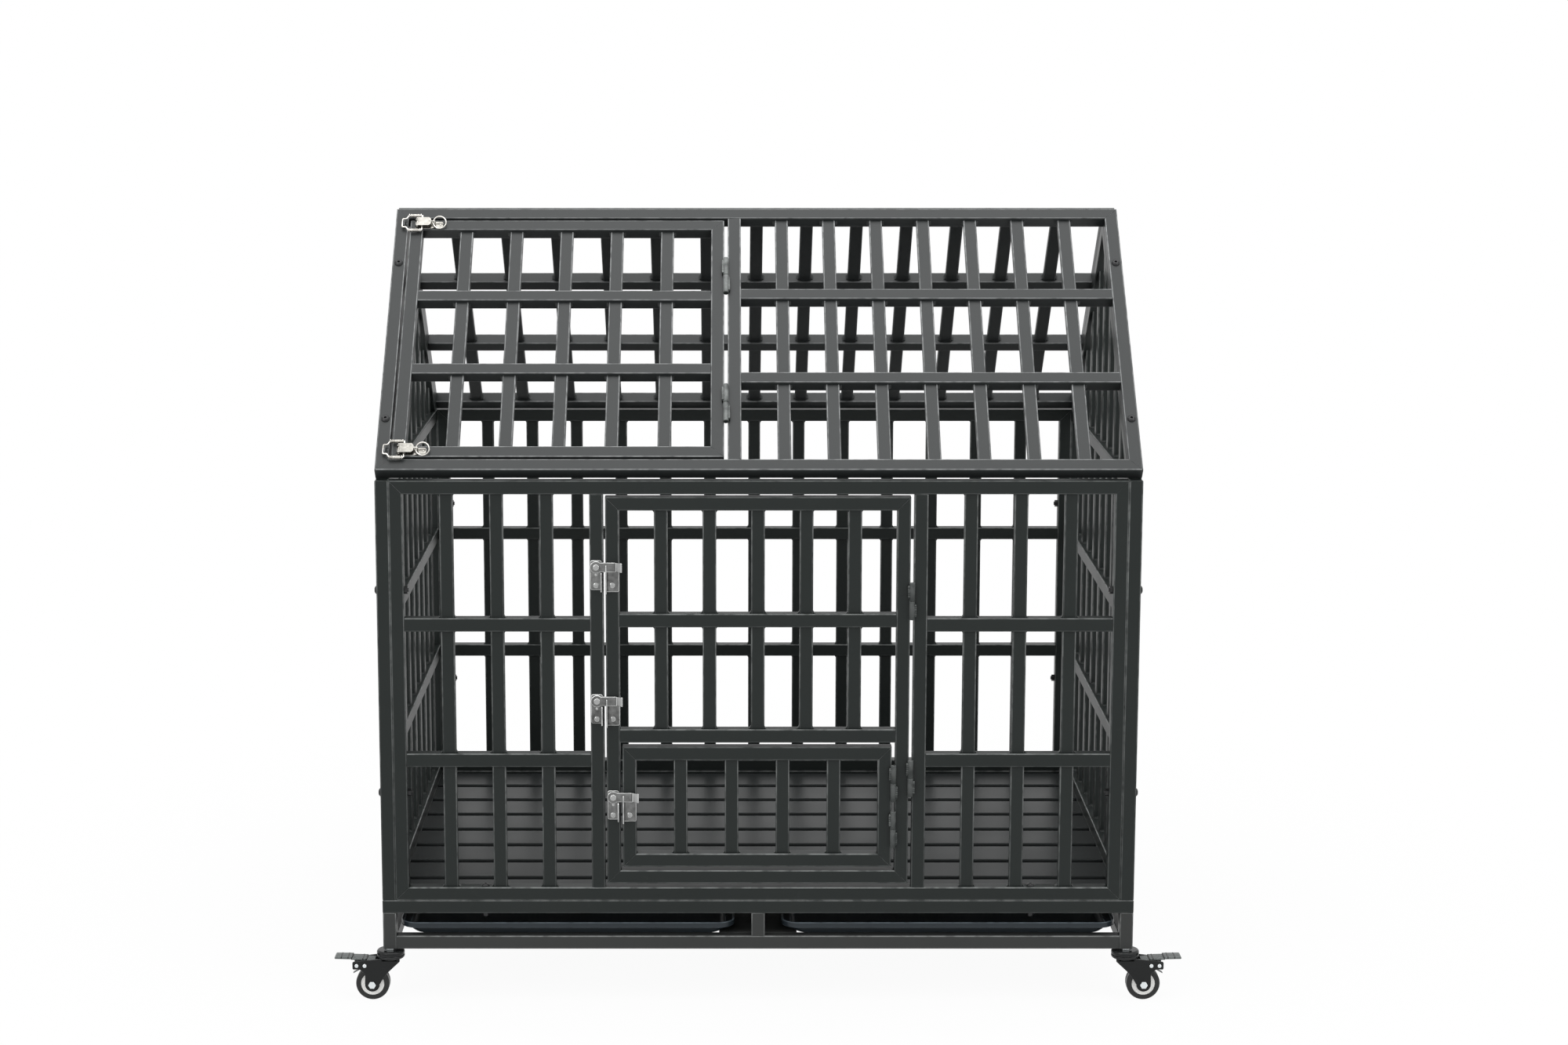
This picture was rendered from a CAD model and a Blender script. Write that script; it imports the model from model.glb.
"""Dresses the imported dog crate: rounded tube panels with welds, trays, latches and casters.

Sizes are in millimetres in the CAD's own frame and become metres when a mesh is made. A skin is an
array of rings of points, shape (rows, ring, 3). A skin whose last ring repeats its first is closed
on itself, and any other skin gets end caps.
"""

from __future__ import annotations

import logging
import math
from dataclasses import dataclass
from enum import Enum
from typing import Any, Sequence

import bmesh
import bpy
import numpy as np
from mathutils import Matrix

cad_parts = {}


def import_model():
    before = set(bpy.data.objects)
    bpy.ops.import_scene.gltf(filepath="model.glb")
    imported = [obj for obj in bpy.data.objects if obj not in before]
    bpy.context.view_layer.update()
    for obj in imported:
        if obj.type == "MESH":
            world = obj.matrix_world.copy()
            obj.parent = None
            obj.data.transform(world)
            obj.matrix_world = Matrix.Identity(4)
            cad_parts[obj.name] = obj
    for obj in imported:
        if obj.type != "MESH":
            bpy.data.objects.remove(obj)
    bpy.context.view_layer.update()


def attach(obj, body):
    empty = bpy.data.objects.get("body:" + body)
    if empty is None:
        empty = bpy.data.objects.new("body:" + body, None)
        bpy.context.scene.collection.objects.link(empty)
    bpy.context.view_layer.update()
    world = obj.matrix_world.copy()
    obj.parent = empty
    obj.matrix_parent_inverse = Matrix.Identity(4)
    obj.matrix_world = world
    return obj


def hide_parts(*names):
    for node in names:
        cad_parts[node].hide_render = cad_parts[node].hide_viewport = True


Array = np.ndarray
Pair = tuple[float, float]
Colour = tuple[float, float, float]
Box = tuple[float, float, float, float]
Point = Sequence[float]
Points = Sequence[Point]
LOG = logging.getLogger("dog_crate")
MILLIMETRE = 0.001
ARRIS = "arris"
NUMBER, COLOUR, VECTOR = "NodeSocketFloat", "NodeSocketColor", "NodeSocketVector"
X_AXIS, Y_AXIS, Z_AXIS = np.eye(3)
QUARTER, TURN = math.pi / 2, 2 * math.pi
WAYS = (-1.0, 1.0)
SQUARE = np.array([[1, 1], [-1, 1], [-1, -1], [1, -1]])
SHARP_ANGLE = math.radians(40.0)
OUTLINE_STEPS = 5
HOLE_POINTS = 96
TUBE_CORNER, BAR_CORNER = 1.5, 1.6
BAR_SINK = 0.5
BUMP_DISTANCE = 0.0004


class Side(Enum):
    """Lower or upper one of two: ends of the crate along X or Y, or halves of a hinge."""

    LOW = -1
    HIGH = 1


class Axis(Enum):
    """Direction of a plate's thickness in a frame: the order in which its coordinates are taken."""

    ACROSS = (2, 0, 1)
    INWARD = (0, 2, 1)
    UPWARD = (0, 1, 2)


@dataclass(frozen=True)
class CrateSizes:
    """Driving sizes of the crate, the same as in the part's source."""

    half_length: float = 558.0
    half_depth: float = 393.0
    wall_height: float = 631.0
    roof_rise: float = 352.5
    eave_setback: float = 17.0
    eave_gap: float = 1.0
    ridge_gap: float = 1.0
    tube: float = 20.0
    bar_width: float = 20.0
    bar_thick: float = 10.0
    caster_height: float = 79.0
    base_height: float = 75.0
    doorway: float = 453.0
    roof_mullion: float = -35.0

    @property
    def floor_z(self) -> float:
        """Top of the base and of the floor slats."""
        return self.caster_height + self.base_height

    @property
    def wall_top(self) -> float:
        """Top of the wall panels."""
        return self.floor_z + self.wall_height

    @property
    def half_run(self) -> float:
        """Half the width of the roof's underside at wall-top height."""
        return self.half_depth - self.eave_setback

    @property
    def pitch(self) -> float:
        """Slope of the roof in radians."""
        return math.atan(self.roof_rise / self.half_run)

    @property
    def roof_low(self) -> float:
        """Lower edge of a roof panel along the slope."""
        return self.eave_gap / math.sin(self.pitch)

    @property
    def roof_high(self) -> float:
        """Upper edge of a roof panel along the slope."""
        return (self.half_run - self.ridge_gap / 2) / math.cos(self.pitch)

    @property
    def inner_length(self) -> float:
        """Half the length between the side panels."""
        return self.half_length - self.tube

    @property
    def inner_depth(self) -> float:
        """Half the depth between the front and rear panels."""
        return self.half_depth - self.tube


def unit(vector: Array) -> Array:
    """Vector of the same direction with length one."""
    return vector / np.linalg.norm(vector, axis=-1, keepdims=True)


def on_circle(angle: Array) -> Array:
    """Points at the given angles on a circle of radius one."""
    return np.stack([np.cos(angle), np.sin(angle)], axis=-1)


def spokes(count: int) -> Array:
    """Angles that share a full turn evenly."""
    return np.arange(count) * TURN / count


def raised(flat: Array, height: Array) -> Array:
    """Rings of flat points with one height for each ring."""
    return np.concatenate([flat, np.broadcast_to(height[:, None, None], (*flat.shape[:2], 1))], axis=2)


def lay(grid: Array, axis: Axis) -> Array:
    """Turns points (a, b, thickness) so that the thickness runs along an axis of a frame."""
    return grid[..., list(axis.value)]


def even_starts(low: float, high: float, count: int, width: float) -> Array:
    """Starts of evenly spread strips: the free length is shared by one more gap than strips.

    Args:
        low: Start of the free length.
        high: End of the free length.
        count: Number of strips.
        width: Width of one strip.

    Returns:
        One start for each strip.
    """
    gap = (high - low - count * width) / (count + 1)
    return low + gap * np.arange(1, count + 1) + width * np.arange(count)


def corner_curves(before: Array, corner: Array, after: Array, steps: int) -> Array:
    """Parabolas (1 - s)^2 * before + 2 * s * (1 - s) * corner + s^2 * after, joined in order.

    Args:
        before: Starts of the curves.
        corner: Corners that they round.
        after: Ends of the curves.
        steps: Chords in a curve.

    Returns:
        Points of all curves.
    """
    s = np.linspace(0.0, 1.0, steps + 1)[None, :, None]
    curve = (1 - s) ** 2 * before[:, None] + 2 * s * (1 - s) * corner[:, None] + s ** 2 * after[:, None]
    return curve.reshape(-1, corner.shape[1])


def rounded_rectangle(width: float, depth: float, radius: float, steps: int = 4) -> Array:
    """Rectangle whose corners are quarter circles, with a holding point beside each corner.

    Args:
        width: Size along the first direction.
        depth: Size along the second direction.
        radius: Corner radius.
        steps: Chords in a quarter circle.

    Returns:
        Ring of points, counter-clockwise, shape (4 * (steps + 3), 2).
    """
    hold = 0.15 * radius
    arc = radius * on_circle(np.linspace(0.0, QUARTER, steps + 1))
    arc = np.vstack([arc[0] - [0.0, hold], arc, arc[-1] - [hold, 0.0]])
    cosine, sine = on_circle(np.arange(4) * QUARTER).T
    spin = np.stack([cosine, -sine, sine, cosine], axis=1).reshape(4, 2, 2)
    corner = SQUARE * (np.array([width, depth]) / 2 - radius)
    return (np.einsum("cij,pj->cpi", spin, arc) + corner[:, None]).reshape(-1, 2)


def rounded_outline(corners: Points, radius: float | Sequence[float]) -> Array:
    """Polygon whose corners are parabolas between two points at the given distance from the corner.

    Args:
        corners: Corner points, counter-clockwise.
        radius: Distance of a curve's ends from its corner, one for all or one each.

    Returns:
        Ring of points, shape (n, 2).
    """
    points = np.asarray(corners, float)
    reach = np.broadcast_to(np.asarray(radius, float), len(points))[:, None]
    before = points + reach * unit(np.roll(points, 1, axis=0) - points)
    after = points + reach * unit(np.roll(points, -1, axis=0) - points)
    return corner_curves(before, points, after, OUTLINE_STEPS)


def box_outline(left: float, right: float, low: float, high: float,
                radius: float | Sequence[float]) -> Array:
    """Rounded outline of a rectangle, given by its edges and counted from its lower left corner."""
    return rounded_outline([(left, low), (right, low), (right, high), (left, high)], radius)


def mirrored_outline(side: list[Pair], radius: list[float]) -> Array:
    """Rounded outline of a plate that is the same on both sides of the first axis."""
    return rounded_outline([(a, -b) for a, b in side] + side[::-1], radius + radius[::-1])


def smooth_profile(points: Points, radius: float, steps: int = 3) -> Array:
    """Open line of points with its inner corners rounded as in rounded_outline.

    Args:
        points: Corner points from one end to the other.
        radius: Distance of a curve's ends from its corner, at most just under half of each stretch.
        steps: Chords in a corner.

    Returns:
        Points of the smooth line.
    """
    line = np.asarray(points, float)
    middle = line[1:-1]
    back, ahead = line[:-2] - middle, line[2:] - middle
    shorter = np.minimum(np.linalg.norm(back, axis=1), np.linalg.norm(ahead, axis=1))
    reach = np.minimum(radius, 0.48 * shorter)[:, None]
    curve = corner_curves(middle + reach * unit(back), middle, middle + reach * unit(ahead), steps)
    return np.vstack([line[:1], curve, line[-1:]])


def slab(outline: Array, low: float, high: float, edge: float) -> Array:
    """Outline carried from low to high, drawn in by a quarter circle along both edges.

    Args:
        outline: Counter-clockwise ring of points, shape (n, 2).
        low: Start along the third direction.
        high: End along the third direction.
        edge: Radius of the rounded edges.

    Returns:
        Rings of points.
    """
    along = unit(np.roll(outline, -1, axis=0) - np.roll(outline, 1, axis=0))
    outward = np.stack([along[:, 1], -along[:, 0]], axis=1)
    angle = np.linspace(0.0, QUARTER, 4)
    inset, rise = edge * (1 - np.sin(angle)), edge * (1 - np.cos(angle))
    inset = np.concatenate([inset, inset[::-1]])
    height = np.concatenate([low + rise, high - rise[::-1]])
    return raised(outline - inset[:, None, None] * outward, height)


def pierced_slab(outline: Array, hole: Pair, radius: float, low: float, high: float,
                 edge: float) -> Array:
    """Plate with a round hole: rings from the outer edge over the face into the hole and back.

    Args:
        outline: Counter-clockwise ring of points round the hole, shape (n, 2).
        hole: Centre of the hole.
        radius: Radius of the hole.
        low: Start along the third direction.
        high: End along the third direction.
        edge: Radius of the outer edges.

    Returns:
        Rings of points, closed on themselves.
    """
    ring = np.vstack([outline, outline[:1]])
    place = np.concatenate([[0.0], np.cumsum(np.linalg.norm(np.diff(ring, axis=0), axis=1))])
    even = np.linspace(0.0, place[-1], HOLE_POINTS, endpoint=False)
    outer = np.stack([np.interp(even, place, side) for side in ring.T], axis=1)
    inner = np.asarray(hole) + radius * unit(outer - np.asarray(hole))
    skin = slab(outer, low, high, edge)
    return np.concatenate([skin, raised(np.stack([inner, inner]), np.array([high, low])), skin[:1]])


def lathe(profile: Points, segments: int) -> Array:
    """Profile of (radius, height) turned round the third axis, with the given chords in a turn."""
    shape = np.asarray(profile, float)
    return raised(shape[:, :1, None] * on_circle(spokes(segments)), shape[:, 1])


def eased_rod(core: float, radius: float, low: float, high: float, segments: int) -> Array:
    """Turned rod with eased ends, whose end faces run in to a core.

    Args:
        core: Radius at which the end faces stop.
        radius: Radius of the rod.
        low: Its lower end.
        high: Its upper end.
        segments: Chords in a full turn.

    Returns:
        Rings of points along the third axis.
    """
    ease = 0.4
    return lathe([(core, low), (radius - ease, low), (radius, low + ease), (radius, high - ease),
                  (radius - ease, high), (core, high)], segments)


def dome(radius: float, height: float, foot: float = 0.0, segments: int = 40) -> Array:
    """Low round head: an ellipse of the given radius and height on a short straight edge.

    Args:
        radius: Radius of the head.
        height: Height of the head.
        foot: Depth of the shank below it.
        segments: Chords in a full turn.

    Returns:
        Rings of points with the head along the third axis.
    """
    shank, straight, tip = 0.5 * radius, 0.25 * height, 0.02 * radius
    angle = np.linspace(0.0, QUARTER, 9)
    cap = np.stack([radius * np.cos(angle), straight + (height - straight) * np.sin(angle)], axis=1)
    cap[-1, 0] = tip
    lower = [(shank, -foot), (shank, 0.0)] if foot else [(shank, 0.0)]
    return lathe(np.vstack([lower, [(radius, 0.0)], cap]), segments)


def cross_screw(radius: float, height: float) -> Array:
    """Round screw head with a cross recess, worked out on rings and spokes.

    The head is height * (1 - fall * (r / radius)^2), less a cross whose two arms fall off
    smoothly over a fifth of a millimetre.

    Args:
        radius: Radius of the head.
        height: Height of the head.

    Returns:
        Rings of points from the middle to the edge and down into the plate.
    """
    half, arm, fade, fall, sunk = 0.16 * radius, 0.6 * radius, 0.22, 0.55, 0.2
    reach = np.concatenate([[0.04], np.linspace(0.15, 1.0, 22)])[:, None] * radius
    flat = reach[..., None] * on_circle(spokes(72))

    def inside(across: Array, along: Array) -> Array:
        """One arm of the cross, from 0 outside to 1 inside."""
        return np.clip((half - across) / fade + 0.5, 0, 1) * np.clip((arm - along) / fade + 0.5, 0, 1)

    a, b = np.abs(flat[..., 0]), np.abs(flat[..., 1])
    cross = np.maximum(inside(a, b), inside(b, a))
    top = height * (1 - fall * (reach / radius) ** 2) - fall * height * cross
    foot = raised(flat[-1:], np.array([-sunk]))
    return np.concatenate([np.concatenate([flat, top[..., None]], axis=2), foot])


def wire(path: Array, radius: float, sides: int) -> Array:
    """Circle carried along a path, square to it, beside the axis that the path keeps clear of most.

    Args:
        path: Points of the path, shape (n, 3).
        radius: Wire radius.
        sides: Chords in the circle.

    Returns:
        Rings of points.
    """
    heading = unit(np.gradient(path, axis=0))
    guide = np.eye(3)[np.argmin(np.abs(heading).max(axis=0))]
    side = unit(np.cross(heading, guide))
    lift = np.cross(side, heading)
    ring = on_circle(spokes(sides))
    return path[:, None] + radius * (ring[None, :, :1] * side[:, None] + ring[None, :, 1:] * lift[:, None])


def tube_skin(start: Point, end: Point, side: Array, up: Array, size: Pair,
              cuts: Pair = (0.0, 0.0), radius: float = TUBE_CORNER) -> Array:
    """Rounded rectangle carried from start to end, with sheared end planes and a narrowed lip.

    A point at offset u along side is moved along the tube by cut * u, and the last half
    millimetre of each end is drawn in, so that two tubes that meet leave a fine groove.

    Args:
        start: Centre of the first end.
        end: Centre of the last end.
        side: Direction of the profile's width.
        up: Direction of the profile's depth.
        size: Width and depth.
        cuts: Shear of both end planes.
        radius: Corner radius of the profile.

    Returns:
        Rings of points, shape (4, n, 3).
    """
    lip = 0.45
    start, end = np.asarray(start, float), np.asarray(end, float)
    profile = rounded_rectangle(*size, radius)
    narrow = profile * (1 - 2 * lip / np.asarray(size))
    rings = np.stack([narrow, profile, profile, narrow])
    length = float(np.linalg.norm(end - start))
    sheared = rings[:, :, 0] * np.repeat(cuts, 2)[:, None]
    reach = np.array([0.0, lip, length - lip, length])[:, None] + sheared
    return start + rings[:, :, :1] * side + rings[:, :, 1:] * up + reach[:, :, None] * unit(end - start)


def arris_share(mesh: bpy.types.Mesh, upward: bool) -> Array:
    """Share of rounded edge at each face corner.

    It grows as the normals of the faces round a vertex spread, which is one minus the length of
    their mean, and it is zero on faces other than narrow quads, so that broad faces stay plain.
    Where upward edges count most, it falls to a fifth as the mean normal turns from up to level.

    Args:
        mesh: Mesh with its normals set, in metres.
        upward: Whether edges that face up count most.

    Returns:
        One value from 0 to 1 for each face corner.
    """
    widest, full, least, gain = 0.0009, 0.02, 0.2, 1.3
    faces, corners, count = len(mesh.polygons), len(mesh.loops), len(mesh.vertices)
    normal, point = np.empty(3 * faces, np.float32), np.empty(3 * count, np.float32)
    area, total = np.empty(faces, np.float32), np.empty(faces, np.int32)
    vertex = np.empty(corners, np.int32)
    mesh.polygons.foreach_get("normal", normal)
    mesh.polygons.foreach_get("area", area)
    mesh.polygons.foreach_get("loop_total", total)
    mesh.loops.foreach_get("vertex_index", vertex)
    mesh.vertices.foreach_get("co", point)
    normal, point = normal.reshape(-1, 3), point.reshape(-1, 3)
    owner, start = np.repeat(np.arange(faces), total), np.cumsum(total) - total
    after = np.arange(corners) + 1
    after[start + total - 1] = start
    length = np.linalg.norm(point[vertex[after]] - point[vertex], axis=1)
    narrow = (area / np.maximum.reduceat(length, start) < widest) & (total == 4)
    mean = np.zeros((count, 3))
    np.add.at(mean, vertex, normal[owner])
    mean /= np.maximum(np.bincount(vertex, minlength=count), 1)[:, None]
    spread = np.clip((1 - np.linalg.norm(mean, axis=1)) / full, 0.0, 1.0)
    if upward:
        spread *= np.clip(least + gain * mean[:, 2], least, 1.0)
    return (spread[vertex] * narrow[owner]).astype(np.float32)


class Shell:
    """Collects skins in millimetres and makes one mesh object of them."""

    def __init__(self, name: str) -> None:
        """Starts an empty shell.

        Args:
            name: Name of the object that it will make.
        """
        self.name = name
        self.points: list[Array] = []
        self.faces: list[list[int]] = []
        self.count = 0

    def add(self, grids: Array) -> None:
        """Adds one skin, or skins of the same layout: quads between rings, and end caps if open.

        Args:
            grids: Points, shape (rows, ring, 3) or (skins, rows, ring, 3).
        """
        grids = grids.reshape(-1, *grids.shape[-3:])
        closed = np.array_equal(grids[:, 0], grids[:, -1])
        if closed:
            grids = grids[:, :-1]
        index = self.count + np.arange(grids.size // 3).reshape(grids.shape[:3])
        ahead = np.roll(index, -1, axis=2)
        quads = np.stack([index, ahead, np.roll(ahead, -1, axis=1), np.roll(index, -1, axis=1)], axis=3)
        if not closed:
            quads = quads[:, :-1]
            self.faces += index[:, 0, ::-1].tolist() + index[:, -1].tolist()
        self.faces += quads.reshape(-1, 4).tolist()
        self.points.append(grids.reshape(-1, 3))
        self.count += index.size

    def make(self, body: str, nodes: Sequence[str], finish: Finish, book: FinishBook) -> None:
        """Makes the mesh, dresses it, and puts it in place of its CAD nodes.

        Args:
            body: Body that the piece moves with.
            nodes: CAD nodes that the piece stands for.
            finish: Finish of the piece.
            book: Materials made so far.
        """
        mesh = bpy.data.meshes.new(self.name)
        mesh.from_pydata(np.vstack(self.points) * MILLIMETRE, [], self.faces)
        build = bmesh.new()
        build.from_mesh(mesh)
        bmesh.ops.recalc_face_normals(build, faces=build.faces)
        build.to_mesh(mesh)
        build.free()
        mesh.polygons.foreach_set("use_smooth", np.ones(len(mesh.polygons), bool))
        mesh.set_sharp_from_angle(angle=SHARP_ANGLE)
        share = arris_share(mesh, finish.edge_up)
        mesh.attributes.new(ARRIS, "FLOAT", "CORNER").data.foreach_set("value", share)
        mesh.materials.append(book.material(finish))
        piece = bpy.data.objects.new(self.name, mesh)
        bpy.context.scene.collection.objects.link(piece)
        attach(piece, body)
        if nodes:
            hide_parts(*nodes)
        LOG.info("%s: %d faces on %s", self.name, len(mesh.polygons), body)


@dataclass(frozen=True)
class Finish:
    """One surface finish: two colours, gloss and its spread, grain and relief, wear and edges."""

    name: str
    slot: str
    base: Colour
    tint: Colour
    roughness: float
    spread: float
    grain: float
    relief: float
    metallic: float = 0.0
    specular: float = 0.5
    wear: float = 0.0
    wear_colour: Colour = (0.2, 0.2, 0.2)
    edge: float = 0.0
    edge_colour: Colour = (0.2, 0.2, 0.2)
    edge_up: bool = False
    contrast: float = 1.0


PAINT = Finish("charcoal_powder_coat", "paint", (0.0128, 0.0162, 0.0154), (0.0196, 0.0232, 0.0221),
               0.36, 0.10, 900.0, 0.05, specular=0.18, wear=0.35, wear_colour=(0.040, 0.045, 0.043),
               edge=0.85, edge_colour=(0.230, 0.242, 0.238), edge_up=True)
BASE_PAINT = Finish("base_powder_coat", "paint", (0.0310, 0.0328, 0.0320), (0.0420, 0.0438, 0.0428),
                    0.44, 0.10, 900.0, 0.05, specular=0.20, wear=0.35, wear_colour=(0.060, 0.063, 0.062),
                    edge=0.85, edge_colour=(0.270, 0.280, 0.276), edge_up=True)
ROOF_PAINT = Finish("roof_powder_coat", "roof_paint", (0.0195, 0.0222, 0.0224), (0.0280, 0.0308, 0.0310),
                    0.40, 0.10, 900.0, 0.05, specular=0.28, wear=0.35, wear_colour=(0.053, 0.057, 0.057),
                    edge=0.85, edge_colour=(0.300, 0.310, 0.312), edge_up=True)
FLOOR_PAINT = Finish("floor_powder_coat", "floor_paint", (0.0200, 0.0230, 0.0230), (0.0290, 0.0322, 0.0322),
                     0.36, 0.12, 900.0, 0.04, specular=0.12, wear=0.5, wear_colour=(0.060, 0.063, 0.062),
                     edge=0.7, edge_colour=(0.110, 0.116, 0.116), edge_up=True)
BLACK_BOLT = Finish("black_oxide_bolt", "black_bolt", (0.012, 0.0125, 0.013), (0.022, 0.0225, 0.0235),
                    0.34, 0.12, 500.0, 0.03, metallic=0.4, wear=0.4, wear_colour=(0.08, 0.08, 0.08))
LATCH_STEEL = Finish("dull_latch_steel", "latch_steel", (0.036, 0.0366, 0.036), (0.255, 0.258, 0.254),
                     0.28, 0.16, 150.0, 0.02, metallic=1.0, wear=0.5, wear_colour=(0.30, 0.303, 0.30),
                     edge=0.95, edge_colour=(0.88, 0.89, 0.88), contrast=2.6)
ZINC = Finish("bright_zinc", "zinc", (0.66, 0.70, 0.71), (0.82, 0.86, 0.87),
              0.24, 0.14, 260.0, 0.02, metallic=1.0, wear=0.4, wear_colour=(0.30, 0.31, 0.31),
              edge=0.6, edge_colour=(0.90, 0.92, 0.93))
SCREW_STEEL = Finish("screw_steel", "zinc", (0.26, 0.264, 0.26), (0.48, 0.485, 0.48),
                     0.24, 0.14, 260.0, 0.02, metallic=1.0, wear=0.5, wear_colour=(0.12, 0.121, 0.12),
                     edge=0.4, edge_colour=(0.85, 0.86, 0.85))
NICKEL = Finish("warm_nickel", "nickel", (0.080, 0.0773, 0.0713), (0.370, 0.358, 0.330),
                0.22, 0.14, 180.0, 0.02, metallic=1.0, wear=0.4, wear_colour=(0.14, 0.134, 0.12),
                edge=0.8, edge_colour=(0.80, 0.78, 0.735), contrast=2.4)
TRAY_PLASTIC = Finish("tray_plastic", "tray_plastic", (0.0135, 0.0192, 0.0240), (0.0210, 0.0280, 0.0338),
                      0.32, 0.10, 1400.0, 0.05, specular=0.28, wear=0.25, wear_colour=(0.032, 0.040, 0.046),
                      edge=0.85, edge_colour=(0.150, 0.186, 0.212), edge_up=True)
CASTER_BLACK = Finish("caster_gloss_black", "caster_black", (0.0075, 0.0084, 0.0086),
                      (0.0125, 0.0135, 0.0138), 0.14, 0.08, 700.0, 0.03, specular=0.22, wear=0.25,
                      wear_colour=(0.035, 0.036, 0.036), edge=0.5, edge_colour=(0.080, 0.083, 0.084))
RUBBER = Finish("tyre_rubber", "tyre_rubber", (0.0105, 0.0112, 0.0110), (0.0190, 0.0198, 0.0196),
                0.34, 0.12, 1200.0, 0.06, specular=0.34, wear=0.5, wear_colour=(0.034, 0.035, 0.034))
IVORY = Finish("ivory_rim", "rim_ivory", (0.90, 0.893, 0.868), (0.95, 0.945, 0.925),
               0.42, 0.10, 900.0, 0.03, wear=0.25, wear_colour=(0.72, 0.705, 0.66))
PEDAL_GREY = Finish("pedal_grey", "pedal_grey", (0.090, 0.100, 0.099), (0.125, 0.136, 0.135),
                    0.44, 0.12, 1300.0, 0.07, specular=0.4, wear=0.35, wear_colour=(0.22, 0.23, 0.23),
                    edge=0.6, edge_colour=(0.27, 0.285, 0.285))


class Graph:
    """A node tree that is written down node by node, each with all its inputs."""

    def __init__(self, tree: bpy.types.NodeTree) -> None:
        """Takes up a tree."""
        self.tree = tree

    def fill(self, node: bpy.types.Node, inputs: dict[int | str, Any]) -> None:
        """Links each named input of a node to a socket, or sets its value.

        Args:
            node: Node to fill.
            inputs: Socket or value for each input.
        """
        for key, value in inputs.items():
            if isinstance(value, bpy.types.NodeSocket):
                self.tree.links.new(value, node.inputs[key])
            else:
                node.inputs[key].default_value = value

    def node(self, kind: str, inputs: dict[int | str, Any], **settings: Any) -> bpy.types.NodeOutputs:
        """Adds a shader node.

        Args:
            kind: Its type, without the word ShaderNode.
            inputs: Socket or value for each input.
            settings: Its own properties.

        Returns:
            Its outputs.
        """
        node = self.tree.nodes.new("ShaderNode" + kind)
        for name, value in settings.items():
            setattr(node, name, value)
        self.fill(node, inputs)
        return node.outputs

    def calc(self, operation: str, *values: Any, clamp: bool = False) -> bpy.types.NodeSocket:
        """Result of a Math node."""
        return self.node("Math", dict(enumerate(values)), operation=operation, use_clamp=clamp)[0]

    def noise(self, place: bpy.types.NodeSocket, **values: Any) -> bpy.types.NodeSocket:
        """Noise from 0 to 1 at a place, with the given Scale, Detail and Roughness."""
        return self.node("TexNoise", {"Vector": place, **values})[0]

    def mix(self, share: bpy.types.NodeSocket, first: Any, second: Any) -> bpy.types.NodeSocket:
        """Colour between two colours."""
        return self.node("Mix", {0: share, 6: first, 7: second}, data_type="RGBA")[2]


class NodeGroup(Graph):
    """A shared group of nodes with sockets of its own."""

    def __init__(self, name: str, inputs: dict[str, str], outputs: dict[str, str]) -> None:
        """Starts a group.

        Args:
            name: Name of the group.
            inputs: Socket type of each input.
            outputs: Socket type of each output.
        """
        super().__init__(bpy.data.node_groups.new(name, "ShaderNodeTree"))
        for way, sockets in (("INPUT", inputs), ("OUTPUT", outputs)):
            for label, kind in sockets.items():
                self.tree.interface.new_socket(label, in_out=way, socket_type=kind)
        self.start = self.tree.nodes.new("NodeGroupInput").outputs

    def close(self, results: dict[int | str, Any]) -> bpy.types.NodeTree:
        """Links the results to the group's outputs and hands over its tree."""
        self.fill(self.tree.nodes.new("NodeGroupOutput"), results)
        return self.tree


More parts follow.
